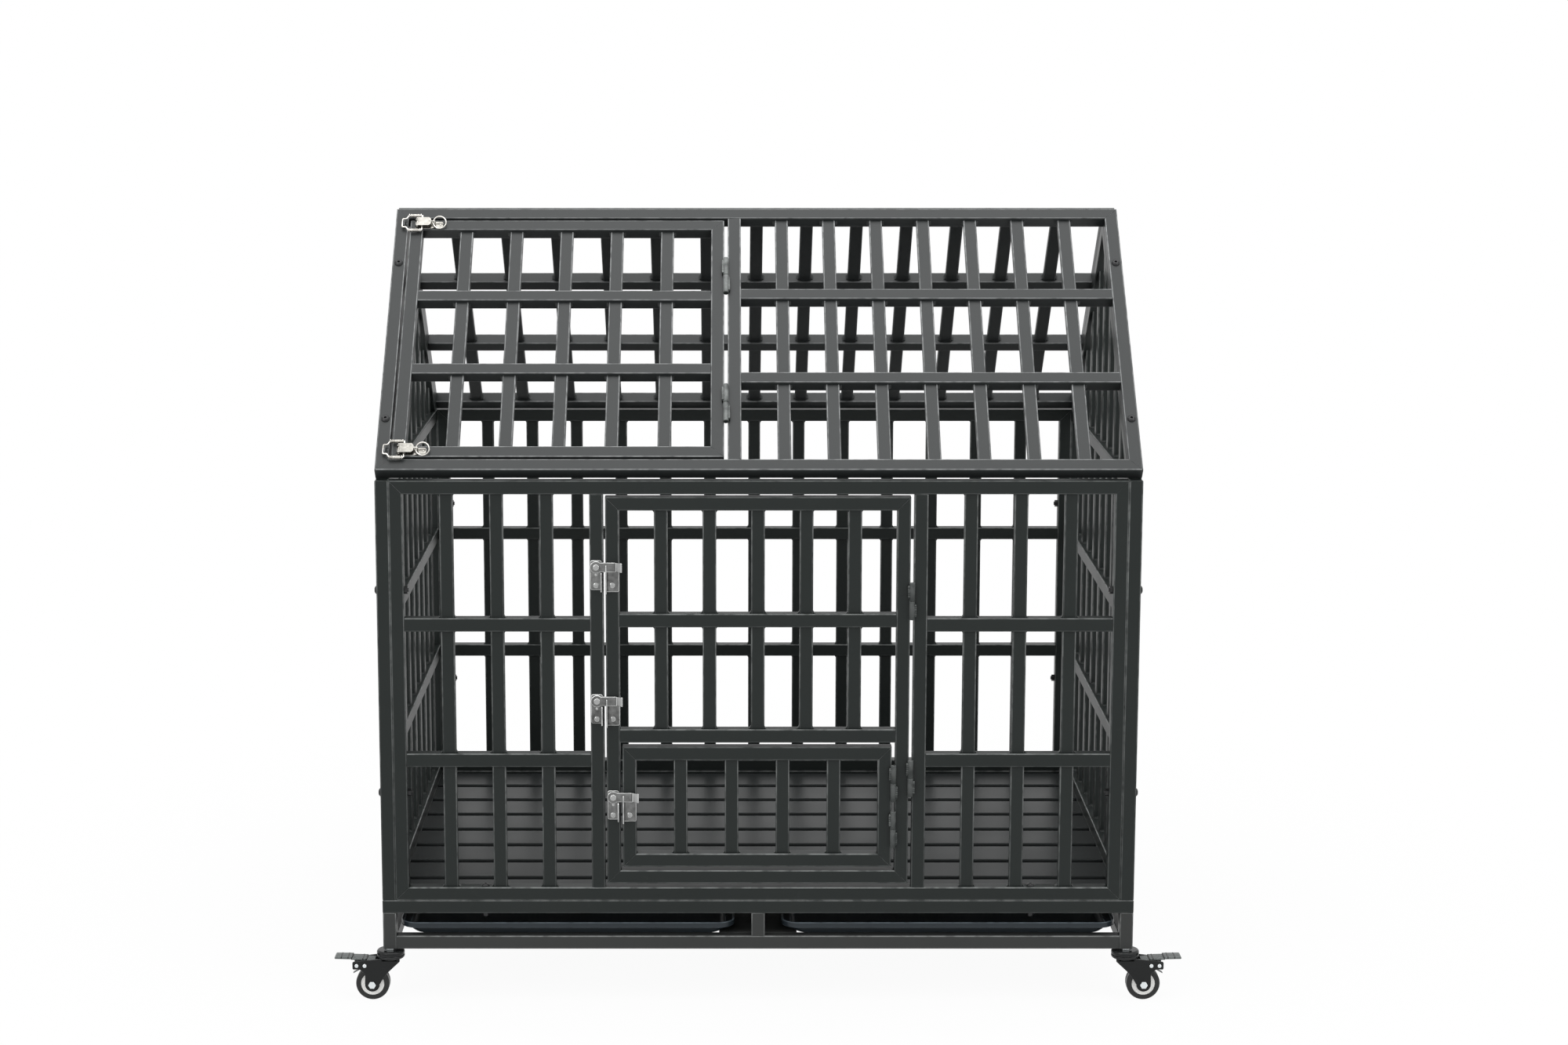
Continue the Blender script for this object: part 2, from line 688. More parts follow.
class FinishBook:
    """Makes each material once, from three shared node groups."""

    def __init__(self) -> None:
        """Builds the shared groups and an empty list of materials."""
        self.made: dict[str, bpy.types.Material] = {}
        self.grain = self._grain_group()
        self.rub = self._rub_group()
        self.edges = self._edge_group()

    @staticmethod
    def _grain_group() -> bpy.types.NodeTree:
        """Colour drift at two scales, gloss drift, and the fine relief of a sprayed or moulded skin.

        Returns:
            Group from coordinates and values to colour, roughness and height.
        """
        group = NodeGroup("skin_grain", {
            "Vector": VECTOR, "Base": COLOUR, "Tint": COLOUR, "Roughness": NUMBER, "Spread": NUMBER,
            "Grain": NUMBER, "Contrast": NUMBER}, {"Color": COLOUR, "Roughness": NUMBER, "Height": NUMBER})
        start, fine_share, middle = group.start, 0.35, 0.5
        broad = group.noise(start["Vector"], Scale=9.0, Detail=4.0)
        fine = group.noise(start["Vector"], Scale=start["Grain"], Detail=2.0)
        drift = group.calc("MULTIPLY_ADD", fine, fine_share, group.calc("MULTIPLY", broad, 1 - fine_share))
        drift = group.calc("MULTIPLY_ADD", group.calc("SUBTRACT", drift, middle), start["Contrast"], middle,
                           clamp=True)
        rough = group.calc("MULTIPLY_ADD", group.calc("SUBTRACT", broad, middle), start["Spread"],
                           start["Roughness"], clamp=True)
        return group.close({"Color": group.mix(drift, start["Base"], start["Tint"]), "Roughness": rough,
                            "Height": fine})

    @staticmethod
    def _rub_group() -> bpy.types.NodeTree:
        """Thin scattered rub marks and dust: a sharp band of one noise, broken up by another.

        Returns:
            Group from coordinates, colours and an amount to the rubbed colour.
        """
        group = NodeGroup("rub_marks", {"Vector": VECTOR, "Color": COLOUR, "Wear": COLOUR, "Amount": NUMBER},
                          {"Color": COLOUR})
        start = group.start
        scuff = group.noise(start["Vector"], Scale=46.0, Detail=7.0, Roughness=0.72)
        band = group.node("MapRange", {"Value": scuff, "From Min": 0.60, "From Max": 0.78})[0]
        broken = group.calc("MULTIPLY", band, group.noise(start["Vector"], Scale=420.0))
        amount = group.calc("MULTIPLY", broken, start["Amount"])
        return group.close({"Color": group.mix(amount, start["Color"], start["Wear"])})

    @staticmethod
    def _edge_group() -> bpy.types.NodeTree:
        """Lighter rounded edges, where coating is thin or bare metal is polished, broken by noise.

        Returns:
            Group from coordinates, colours, edge share and amount to the edged colour.
        """
        group = NodeGroup("edge_wear", {"Vector": VECTOR, "Color": COLOUR, "Edge": COLOUR, "Share": NUMBER,
                                        "Amount": NUMBER}, {"Color": COLOUR})
        start = group.start
        patch = group.noise(start["Vector"], Scale=70.0, Detail=4.0)
        broken = group.node("MapRange", {"Value": patch, "From Min": 0.34, "From Max": 0.58,
                                         "To Min": 0.35})[0]
        amount = group.calc("MULTIPLY", group.calc("MULTIPLY", broken, start["Share"]), start["Amount"])
        return group.close({"Color": group.mix(amount, start["Color"], start["Edge"])})

    def material(self, finish: Finish) -> bpy.types.Material:
        """Material of a finish, made at its first use.

        Args:
            finish: The finish wanted.

        Returns:
            Its material.
        """
        if finish.name in self.made:
            return self.made[finish.name]
        material = bpy.data.materials.new(finish.name)
        material.use_nodes = True
        graph = Graph(material.node_tree)
        place = graph.node("TexCoord", {})["Object"]
        share = graph.node("Attribute", {}, attribute_name=ARRIS)["Fac"]
        grain = graph.node("Group", {
            "Vector": place, "Base": (*finish.base, 1.0), "Tint": (*finish.tint, 1.0),
            "Roughness": finish.roughness, "Spread": finish.spread, "Grain": finish.grain,
            "Contrast": finish.contrast}, node_tree=self.grain)
        rubbed = graph.node("Group", {
            "Vector": place, "Color": grain["Color"], "Wear": (*finish.wear_colour, 1.0),
            "Amount": finish.wear}, node_tree=self.rub)
        edged = graph.node("Group", {
            "Vector": place, "Color": rubbed["Color"], "Edge": (*finish.edge_colour, 1.0), "Share": share,
            "Amount": finish.edge}, node_tree=self.edges)
        bump = graph.node("Bump", {"Height": grain["Height"], "Distance": BUMP_DISTANCE,
                                   "Strength": finish.relief})
        graph.fill(material.node_tree.nodes["Principled BSDF"], {
            "Base Color": edged["Color"], "Roughness": grain["Roughness"], "Normal": bump["Normal"],
            "Metallic": finish.metallic, "Specular IOR Level": finish.specular})
        self.made[finish.name] = material
        return material

    def dress(self, node: str, finish: Finish) -> None:
        """Gives a CAD node that stays in view its finish.

        Args:
            node: Name of the CAD node.
            finish: Its finish.
        """
        mesh = bpy.data.objects[node].data
        mesh.materials.clear()
        mesh.materials.append(self.material(finish))
        LOG.info("%s: CAD node dressed in %s", node, finish.name)


@dataclass(frozen=True)
class Frame:
    """Right-handed directions and origin that lay a flat piece into the crate."""

    origin: Array
    across: Array
    inward: Array
    upward: Array

    def place(self, points: Array) -> Array:
        """Points (across, inward, upward) in the crate's own frame."""
        return self.origin + points @ np.stack([self.across, self.inward, self.upward])


class Frames:
    """Frames of the crate's walls, roof slopes and level rings."""

    def __init__(self, sizes: CrateSizes) -> None:
        """Works out all frames.

        Args:
            sizes: Sizes of the crate.
        """
        run, rise, floor = math.cos(sizes.pitch), math.sin(sizes.pitch), sizes.floor_z
        self.front = Frame(np.array([0, -sizes.half_depth, floor]), X_AXIS, Y_AXIS, Z_AXIS)
        self.rear = Frame(np.array([0, sizes.half_depth, floor]), -X_AXIS, -Y_AXIS, Z_AXIS)
        self.left = Frame(np.array([-sizes.half_length, 0, floor]), -Y_AXIS, X_AXIS, Z_AXIS)
        self.right = Frame(np.array([sizes.half_length, 0, floor]), Y_AXIS, -X_AXIS, Z_AXIS)
        slope, lift = np.array([0, run, rise]), np.array([0, -rise, run])
        eave = np.array([0, -sizes.half_run, sizes.wall_top]) + sizes.tube * lift
        turned = np.array([1.0, -1.0, 1.0])
        self.front_roof = Frame(eave, X_AXIS, -lift, slope)
        self.rear_roof = Frame(eave * turned, -X_AXIS, -lift * turned, slope * turned)

    @staticmethod
    def level(top: float) -> Frame:
        """Level frame with X across and Y up the page, whose outer face is at the given height."""
        return Frame(np.array([0, 0, top]), X_AXIS, -Z_AXIS, Y_AXIS)


@dataclass
class TubePanel:
    """Welded panel of square tube and flat bars, drawn upright in its frame.

    Its skins go into a shell, and a seed sets the small differences between its welds.
    """

    shell: Shell
    frame: Frame
    sizes: CrateSizes
    seed: int = 0
    weld_leg: Pair = (2.9, 4.4)
    weld_ripple: Pair = (0.93, 1.07)
    weld_root: float = -0.15
    weld_power: float = 1.5
    weld_half: float = 0.43
    weld_swell: float = 0.14
    weld_wave: float = 4.3 / 1.3

    def __post_init__(self) -> None:
        """Starts the panel's random numbers."""
        self.chance = np.random.default_rng(self.seed)

    def tube(self, start: Point, end: Point, side: Array, size: Pair, cuts: Pair = (0.0, 0.0),
             radius: float = TUBE_CORNER) -> None:
        """Adds one tube between two points, with its depth through the panel, as tube_skin has it."""
        self.shell.add(self.frame.place(tube_skin(start, end, side, Y_AXIS, size, cuts, radius)))

    def rail(self, low: float, high: float, foot: float, cuts: Pair = (0.0, 0.0)) -> None:
        """Adds a tube along the panel; foot is its lower edge and the cuts shear its ends."""
        half = self.sizes.tube / 2
        self.tube((low, half, foot + half), (high, half, foot + half), Z_AXIS, (2 * half, 2 * half), cuts)

    def stile(self, left: float, low: float, high: float, cuts: Pair = (0.0, 0.0)) -> None:
        """Adds an upright tube; left is its left edge and the cuts shear its ends."""
        half = self.sizes.tube / 2
        self.tube((left + half, half, low), (left + half, half, high), X_AXIS, (2 * half, 2 * half), cuts)

    def border(self, box: Box) -> Box:
        """Adds four mitred tubes round a rectangle.

        Args:
            box: Outer edges: left, right, low and high.

        Returns:
            Inner edges.
        """
        left, right, low, high = box
        tube, half = self.sizes.tube, self.sizes.tube / 2
        self.rail(left + half, right - half, low, (1.0, -1.0))
        self.rail(left + half, right - half, high - tube, (-1.0, 1.0))
        self.stile(left, low + half, high - half, (1.0, -1.0))
        self.stile(right - tube, low + half, high - half, (-1.0, 1.0))
        return left + tube, right - tube, low + tube, high - tube

    def thirds(self, box: Box, count: int) -> None:
        """Fills a bay, given by its edges, with bars and two cross rails at even thirds."""
        self.fill(box, even_starts(box[2], box[3], 2, self.sizes.tube), count)

    def fill(self, box: Box, feet: Sequence[float], count: int) -> None:
        """Fills a bay with cross rails, and with bars between them and its ends.

        Args:
            box: Edges of the bay: left, right, low and high.
            feet: Lower edges of the cross rails.
            count: Number of bars side by side.
        """
        left, right, low, high = box
        for foot in feet:
            self.rail(left, right, foot)
        ends = [low, *(end for foot in feet for end in (foot, foot + self.sizes.tube)), high]
        self.bars(even_starts(left, right, count, self.sizes.bar_width), list(zip(ends[::2], ends[1::2])))

    def bars(self, starts: Array, bays: Sequence[Pair]) -> None:
        """Adds flat bars in each bay between rails, with a weld at both sides of each end.

        Args:
            starts: Left edges of the bars.
            bays: Lower and upper end of each bay.
        """
        width, thick, middle = self.sizes.bar_width, self.sizes.bar_thick, self.sizes.tube / 2
        for low, high in bays:
            for centre in starts + width / 2:
                self.tube((centre, middle, low - BAR_SINK), (centre, middle, high + BAR_SINK), X_AXIS,
                          (width, thick), radius=BAR_CORNER)
        ways = np.array(WAYS)
        places = np.broadcast_arrays(np.stack([starts, starts + width], axis=1)[:, :, None, None],
                                     np.asarray(bays, float), ways[:, None, None], -ways)
        self.welds(*(place.ravel() for place in places))

    def welds(self, u: Array, v: Array, out_u: Array, out_v: Array) -> None:
        """Adds hollow fillet welds: a hollow curve between two legs, carried through the panel.

        The curve is (leg * (1 - s)^1.5, leg * s^1.5), and its leg swells and ripples along the weld.

        Args:
            u: Corner places across the panel.
            v: Corner places up the panel.
            out_u: Direction of the first leg, -1 or 1.
            out_v: Direction of the second leg, -1 or 1.
        """
        s = np.linspace(0.0, 1.0, 4)
        curve = np.stack([(1 - s) ** self.weld_power, s ** self.weld_power], axis=1)
        ring = np.vstack([[self.weld_root, self.weld_root], curve])
        depth = np.linspace(-self.weld_half, self.weld_half, 5) * self.sizes.bar_thick
        swell = 1 - self.weld_swell + self.weld_swell * np.cos(depth / self.weld_wave)
        leg = self.chance.uniform(*self.weld_leg, (len(u), 1)) * swell
        leg = (leg * self.chance.uniform(*self.weld_ripple, leg.shape))[:, :, None]
        grid = np.empty((*leg.shape[:2], len(ring), 3))
        grid[..., 0] = u[:, None, None] + out_u[:, None, None] * leg * ring[:, 0]
        grid[..., 1] = self.sizes.tube / 2 + depth[:, None]
        grid[..., 2] = v[:, None, None] + out_v[:, None, None] * leg * ring[:, 1]
        self.shell.add(self.frame.place(grid))


@dataclass
class Assembly:
    """Sub-assembly of the crate, with what it needs to build and dress its pieces."""

    sizes: CrateSizes
    book: FinishBook

    def piece(self, name: str, body: str, nodes: Sequence[str], finish: Finish,
              skins: Sequence[Array]) -> None:
        """Makes one piece.

        Args:
            name: Name of the piece.
            body: Body that it moves with.
            nodes: CAD nodes that it stands for.
            finish: Its finish.
            skins: Its skins in the crate's own frame.
        """
        shell = Shell(name)
        for skin in skins:
            shell.add(skin)
        shell.make(body, nodes, finish, self.book)


@dataclass
class WallAssembly(Assembly):
    """Sub-assembly that lies in the crate's walls or on them."""

    frames: Frames

    def panel(self, name: str, frame: Frame, seed: int = 0) -> TubePanel:
        """Empty panel of the given name in a frame, with a seed for its welds."""
        return TubePanel(Shell(name), frame, self.sizes, seed)


@dataclass
class Cage(WallAssembly):
    """The fixed cage: side, front, rear and roof panels, base frame and floor."""

    side_bars: int = 9
    rear_bars: int = 13
    doorway_bars: int = 3
    fixed_roof_bars: int = 7
    ridge_bar_lift: float = 9.0
    slat_width: float = 76.0
    slat_thick: float = 10.0
    slat_corner: float = 2.4
    slat_count: int = 8
    bearer_offset: float = 269.0
    guide_half: float = 58.0
    guide_thick: float = 2.0
    guide_sink: float = 1.0
    guide_corner: float = 0.5
    guide_edge: float = 0.4

    def build(self) -> None:
        """Builds and dresses all fixed panels."""
        size, frames = self.sizes, self.frames
        wall = (-size.inner_length, size.inner_length, 0.0, size.wall_height)
        roof = (-size.half_length, size.half_length, size.roof_low, size.roof_high)
        self.side_panel("left_side", frames.left, 11)
        self.side_panel("right_side", frames.right, 12)
        self.front_wall(wall)
        self.rear_grille(self.panel("rear_wall", frames.rear, 22), wall, "rear_panel", PAINT)
        self.front_roof(roof)
        self.rear_grille(self.panel("rear_roof", frames.rear_roof, 24), roof, "rear_roof_panel", ROOF_PAINT)
        self.base()
        self.floor()
        self.book.dress("frame_bolts", BLACK_BOLT)

    def side_panel(self, name: str, frame: Frame, seed: int) -> None:
        """House-shaped side: bordered grille with two sloped rails and bars under them.

        Args:
            name: Name of the piece, which begins the name of its CAD node.
            frame: Frame of that wall.
            seed: Seed of the welds.
        """
        size, tube, half = self.sizes, self.sizes.tube, self.sizes.tube / 2
        panel = self.panel(name, frame, seed)
        box = (-size.half_depth, size.half_depth, 0.0, size.wall_height)
        panel.thirds(panel.border(box), self.side_bars)
        run, rise = math.cos(size.pitch), math.sin(size.pitch)
        slope = rise / run
        for way in WAYS:
            along, lift = np.array([-way * run, 0, rise]), np.array([way * rise, 0, run])
            middle = np.array([way * size.half_run, half, size.wall_height]) - half * lift
            panel.tube(middle + along * half / slope, middle + along * ((size.half_run - half * rise) / run),
                       lift, (tube, tube), (-1 / slope, slope))
        starts = even_starts(-size.inner_depth, size.inner_depth, self.side_bars, size.bar_width)
        for centre in starts + size.bar_width / 2:
            cut = -np.sign(round(centre, 3)) * slope
            top = size.wall_height + size.roof_rise - tube / run - abs(centre) * slope
            top += BAR_SINK if cut else self.ridge_bar_lift - size.bar_width / 2 * slope
            panel.tube((centre, half, size.wall_height - BAR_SINK), (centre, half, top), X_AXIS,
                       (size.bar_width, size.bar_thick), (0.0, cut), BAR_CORNER)
        edges = np.stack([starts, starts + size.bar_width], axis=1).ravel()
        panel.welds(edges, np.full(edges.shape, size.wall_height), np.tile(WAYS, len(starts)),
                    np.ones(edges.shape))
        panel.shell.make("frame", [name + "_panel"], PAINT, self.book)

    def front_wall(self, box: Box) -> None:
        """Front wall: border, two posts beside the doorway, and barred sections at both ends.

        Args:
            box: Outer edges of the wall.
        """
        panel = self.panel("front_wall", self.frames.front, 21)
        left, right, low, high = panel.border(box)
        door, tube = self.sizes.doorway / 2, self.sizes.tube
        panel.stile(-door - tube, low, high)
        panel.stile(door, low, high)
        panel.thirds((left, -door - tube, low, high), self.doorway_bars)
        panel.thirds((door + tube, right, low, high), self.doorway_bars)
        panel.shell.make("frame", ["front_panel", "front_infill"], PAINT, self.book)

    def rear_grille(self, panel: TubePanel, box: Box, node: str, finish: Finish) -> None:
        """Rear wall or rear slope: one bordered grille in place of its CAD node."""
        panel.thirds(panel.border(box), self.rear_bars)
        panel.shell.make("frame", [node], finish, self.book)

    def front_roof(self, box: Box) -> None:
        """Front slope: border and post beside the hatch opening, with bars in the fixed part.

        Args:
            box: Outer edges of the slope.
        """
        panel = self.panel("front_roof", self.frames.front_roof, 23)
        _, right, low, high = panel.border(box)
        post, half = self.sizes.roof_mullion, self.sizes.tube / 2
        panel.stile(post - half, low, high)
        panel.thirds((post + half, right, low, high), self.fixed_roof_bars)
        panel.shell.make("frame", ["front_roof_panel"], ROOF_PAINT, self.book)

    def base(self) -> None:
        """Base: two level rings on short legs, with a rail and a guide plate across the lower one."""
        size, tube = self.sizes, self.sizes.tube
        top_ring = self.panel("base_top_ring", self.frames.level(size.floor_z))
        top_ring.border((-size.half_length, size.half_length, -size.half_depth, size.half_depth))
        top_ring.shell.make("frame", [], PAINT, self.book)
        top = size.caster_height + tube
        ring = self.panel("base_rings", self.frames.level(top))
        for foot in (-size.half_depth, size.inner_depth):
            ring.rail(-size.inner_length, size.inner_length, foot)
        for left in (-size.half_length, -tube / 2, size.inner_length):
            ring.stile(left, -size.inner_depth, size.inner_depth)
        for frame in (self.frames.front, self.frames.rear):
            legs = TubePanel(ring.shell, frame, size)
            legs.stile(-tube / 2, tube - size.base_height, -tube)
            for left in (-size.half_length, size.inner_length):
                legs.stile(left, -size.base_height, -tube)
        half, end = self.guide_half, size.inner_depth + self.guide_sink
        plate = box_outline(-half, half, -end, end, self.guide_corner)
        ring.shell.add(slab(plate, top - self.guide_thick, top, self.guide_edge))
        ring.shell.make("frame", ["base_frame"], BASE_PAINT, self.book)

    def floor(self) -> None:
        """Floor: flat slats with rounded edges along the crate, on three bearers."""
        size, thick = self.sizes, self.slat_thick
        panel = self.panel("floor_slats", self.frames.level(size.floor_z))
        for low in even_starts(-size.inner_depth, size.inner_depth, self.slat_count, self.slat_width):
            middle = low + self.slat_width / 2
            panel.tube((-size.inner_length, thick / 2, middle), (size.inner_length, thick / 2, middle),
                       Z_AXIS, (self.slat_width, thick), radius=self.slat_corner)
        for middle in (-self.bearer_offset, 0.0, self.bearer_offset):
            panel.tube((middle, 1.5 * thick, -size.inner_depth), (middle, 1.5 * thick, size.inner_depth),
                       X_AXIS, (size.bar_width, thick), radius=BAR_CORNER)
        panel.shell.make("frame", ["floor_grate"], FLOOR_PAINT, self.book)


@dataclass
class Doors(WallAssembly):
    """The three framed doors: front door, feeder door in it, and roof hatch."""

    door: Box = (-223.5, 221.5, 26.0, 607.0)
    feeder: Box = (-200.0, 196.5, 51.5, 234.0)
    feeder_bay_top: float = 240.5
    hatch_sides: Pair = (-535.0, -50.5)
    hatch_end_gap: float = 4.0
    hatch_rails: Pair = (157.5, 301.5)
    door_bars: int = 5
    feeder_bars: int = 4
    hatch_bars: int = 5

    @property
    def hatch(self) -> Box:
        """Outer edges of the hatch on the slope."""
        inset = self.sizes.tube + self.hatch_end_gap
        return *self.hatch_sides, self.sizes.roof_low + inset, self.sizes.roof_high - inset

    def build(self) -> None:
        """Builds and dresses the three doors: front door with the feeder's opening, feeder, and hatch."""
        tube, front = self.sizes.tube, self.frames.front
        leaf = self.panel("door_leaf", front, 41)
        left, right, _, high = leaf.border(self.door)
        low = self.feeder_bay_top + tube
        leaf.rail(left, right, self.feeder_bay_top)
        leaf.fill((left, right, low, high), even_starts(low, high, 1, tube), self.door_bars)
        leaf.shell.make("front_door_body", ["front_door", "front_door_infill"], PAINT, self.book)
        leaf = self.panel("feeder_leaf", front, 42)
        leaf.fill(leaf.border(self.feeder), [], self.feeder_bars)
        leaf.shell.make("feeder_door_body", ["feeder_door"], PAINT, self.book)
        leaf = self.panel("hatch_leaf", self.frames.front_roof, 43)
        feet = [self.hatch[2] + rail for rail in self.hatch_rails]
        leaf.fill(leaf.border(self.hatch), feet, self.hatch_bars)
        leaf.shell.make("roof_hatch_body", ["roof_hatch"], ROOF_PAINT, self.book)


@dataclass
class Fitting(WallAssembly):
    """Sub-assembly that is fixed to the doors."""

    doors: Doors


@dataclass(frozen=True)
class HingeLine:
    """Axis shared by some hinges: their frame, its place, their starts, length and tube gap."""

    frame: Frame
    x: float
    starts: Pair
    length: float
    gap: float


@dataclass
class Hinges(Fitting):
    """Weld-on barrel hinges: a lower half with the pin and an upper half that turns on it."""

    radius: float = 4.25
    core: float = 1.0
    ease: float = 0.7
    round_off: float = 0.2
    stand: float = 3.8
    gap: float = 5.0
    hatch_gap: float = 5.5
    end_gap: float = 0.3
    length: float = 55.0
    hatch_length: float = 70.0
    tab_reach: float = 6.5
    tab_inset: float = 4.0
    tab_sink: float = 0.5
    bead_corner: float = 1.4
    bead_front: float = 3.4
    bead_taper: float = 2.0
    fine_wave: Pair = (0.10, 1.9)
    slow_wave: Pair = (0.05, 0.7)
    door_heights: Pair = (426.0, 160.0)
    feeder_heights: Pair = (152.0, 82.0)
    hatch_slopes: Pair = (88.0, 338.0)

    def build(self) -> None:
        """Builds and dresses the hinge halves of each body."""
        front, doors = self.frames.front, self.doors
        door = HingeLine(front, doors.door[1] + self.gap / 2, self.door_heights, self.length, self.gap)
        feeder = HingeLine(front, doors.feeder[1] + self.gap / 2, self.feeder_heights, self.length, self.gap)
        hatch = HingeLine(self.frames.front_roof, doors.hatch[1] + self.hatch_gap / 2, self.hatch_slopes,
                          self.hatch_length, self.hatch_gap)
        low, high = Side.LOW, Side.HIGH
        for name, body, node, skins in (
                ("fixed_hinge_halves", "frame", "hinge_pins",
                 self.halves(door, low) + self.halves(hatch, low)),
                ("door_hinges", "front_door_body", "door_hinge_halves",
                 self.halves(door, high) + self.halves(feeder, low)),
                ("feeder_hinges", "feeder_door_body", "feeder_hinge_barrels", self.halves(feeder, high)),
                ("hatch_hinges", "roof_hatch_body", "hatch_hinge_barrels", self.halves(hatch, high))):
            self.piece(name, body, [node], PAINT, skins)

    def halves(self, line: HingeLine, side: Side) -> list[Array]:
        """Lower or upper halves of the hinges on one axis."""
        return [skin for start in line.starts for skin in self.half(line, start, side)]

    def half(self, line: HingeLine, low: float, side: Side) -> list[Array]:
        """One half: a turned barrel with eased ends, and a rippled weld bead that ties it to its tube.

        The bead is a rounded rectangle along the barrel, scaled by a sum of two sine waves, and it
        narrows to half by a square root at both ends.

        Args:
            line: Axis of the hinge.
            low: Lower end of the hinge.
            side: Lower or upper half.

        Returns:
            Both skins in the crate's own frame.
        """
        middle, r, ease, off = low + line.length / 2, self.radius, self.ease, self.round_off
        start, stop = (low, middle) if side is Side.LOW else (middle + self.end_gap, low + line.length)
        barrel = lathe([(self.core, start), (r - ease, start), (r - off, start + off), (r, start + ease),
                        (r, stop - ease), (r - off, stop - off), (r - ease, stop), (self.core, stop)], 40)
        ridge = np.linspace(start + self.tab_inset, stop - self.tab_inset, 25)
        (fine, fine_rate), (slow, slow_rate) = self.fine_wave, self.slow_wave
        ripple = 1 + fine * np.sin(ridge * fine_rate) + slow * np.sin(ridge * slow_rate + 1.0)
        to_end = np.minimum(ridge - ridge[0], ridge[-1] - ridge) / self.bead_taper
        width = (ripple * (np.clip(to_end, 0.0, 1.0) ** 0.5 * 0.5 + 0.5))[:, None]
        bead = rounded_rectangle(self.tab_reach - line.gap / 2, 2 * self.stand - 2 * self.tab_sink,
                                 self.bead_corner, 3)
        across = (self.tab_reach + line.gap / 2) / 2 + bead[:, 0] * np.minimum(width, 1.0)
        inward = np.maximum(self.tab_sink - self.stand + bead[:, 1] * width, -self.stand - self.bead_front)
        weld = np.stack([line.x - side.value * across, inward,
                         np.broadcast_to(ridge[:, None], across.shape)], axis=-1)
        return [line.frame.place(barrel + np.array([line.x, -self.stand, 0.0])), line.frame.place(weld)]


@dataclass
class Trays(Assembly):
    """The two pull-out trays, each a stepped tub with a rounded rim."""

    post_gap: float = 25.0
    leg_gap: float = 5.0
    end_inset: float = 4.0
    headroom: float = 15.7
    lift: float = 0.3
    wall: float = 2.5
    rim_height: float = 8.8
    step: float = 12.0
    corner: float = 26.0
    end_draw: float = 12.0
    floor_strip: Pair = (7.0, 5.0)
    bends: Pair = (2.4, 1.8)
    outer_points: Pair = (0.4, 0.7)
    inner_points: Pair = (0.6, 0.45)

    def build(self) -> None:
        """Builds and dresses both trays."""
        for side, name in ((Side.LOW, "left"), (Side.HIGH, "right")):
            self.piece(name + "_tub", name + "_tray_body", [name + "_tray"], TRAY_PLASTIC,
                       [self.tub() * np.array([side.value, 1, 1])])

    def tub(self) -> Array:
        """Skin of the right tray: its wall section carried round a rectangle with round corners.

        A section point at distance d outside the rim's outer face lies on the same rectangle
        with its corner radius increased by d. Below the step, the two ends draw in towards the
        tray's middle by the square of the depth below it. The straight walls have points at the
        given shares of the step's height.

        Returns:
            Rings of points from the outer floor over the rim to the inner floor.
        """
        size, wall = self.sizes, self.wall
        low = size.tube / 2 + self.post_gap
        width = size.inner_length - self.leg_gap - low
        depth = 2 * (size.half_depth - self.end_inset)
        height = size.base_height - 2 * size.tube - self.headroom
        shelf, outer, inner = height - self.rim_height, -self.step, -self.step - wall
        (out_strip, in_strip), (foot_bend, bend) = self.floor_strip, self.bends
        (foot_point, out_point), (in_point, last_point) = self.outer_points, self.inner_points
        section = np.vstack([
            smooth_profile([(outer - out_strip, 0), (outer, 0), (outer, foot_point * shelf)], foot_bend, 4),
            smooth_profile([(outer, out_point * shelf), (outer, shelf), (0, shelf), (0, height),
                            (-wall, height), (-wall, shelf + wall), (inner, shelf + wall),
                            (inner, in_point * shelf)], bend, 4),
            smooth_profile([(inner, last_point * shelf), (inner, wall), (inner - in_strip, wall)], bend, 4)])
        steps = 10
        angle = (np.arange(4)[:, None] * QUARTER + np.linspace(0, QUARTER, steps)).ravel()
        centre = np.repeat(SQUARE, steps, axis=0) * (np.array([width, depth]) / 2 - self.corner)
        reach, up = self.corner + section[:, :1], section[:, 1:]
        drawn = self.end_draw * np.clip(1 - up / shelf, 0, 1) ** 2
        base = size.caster_height + size.tube + self.lift
        return np.stack([low + width / 2 + (centre[:, 0] + reach * np.cos(angle)) * (1 - 2 * drawn / width),
                         centre[:, 1] + reach * np.sin(angle),
                         np.broadcast_to(base + up, (len(section), len(angle)))], axis=2)


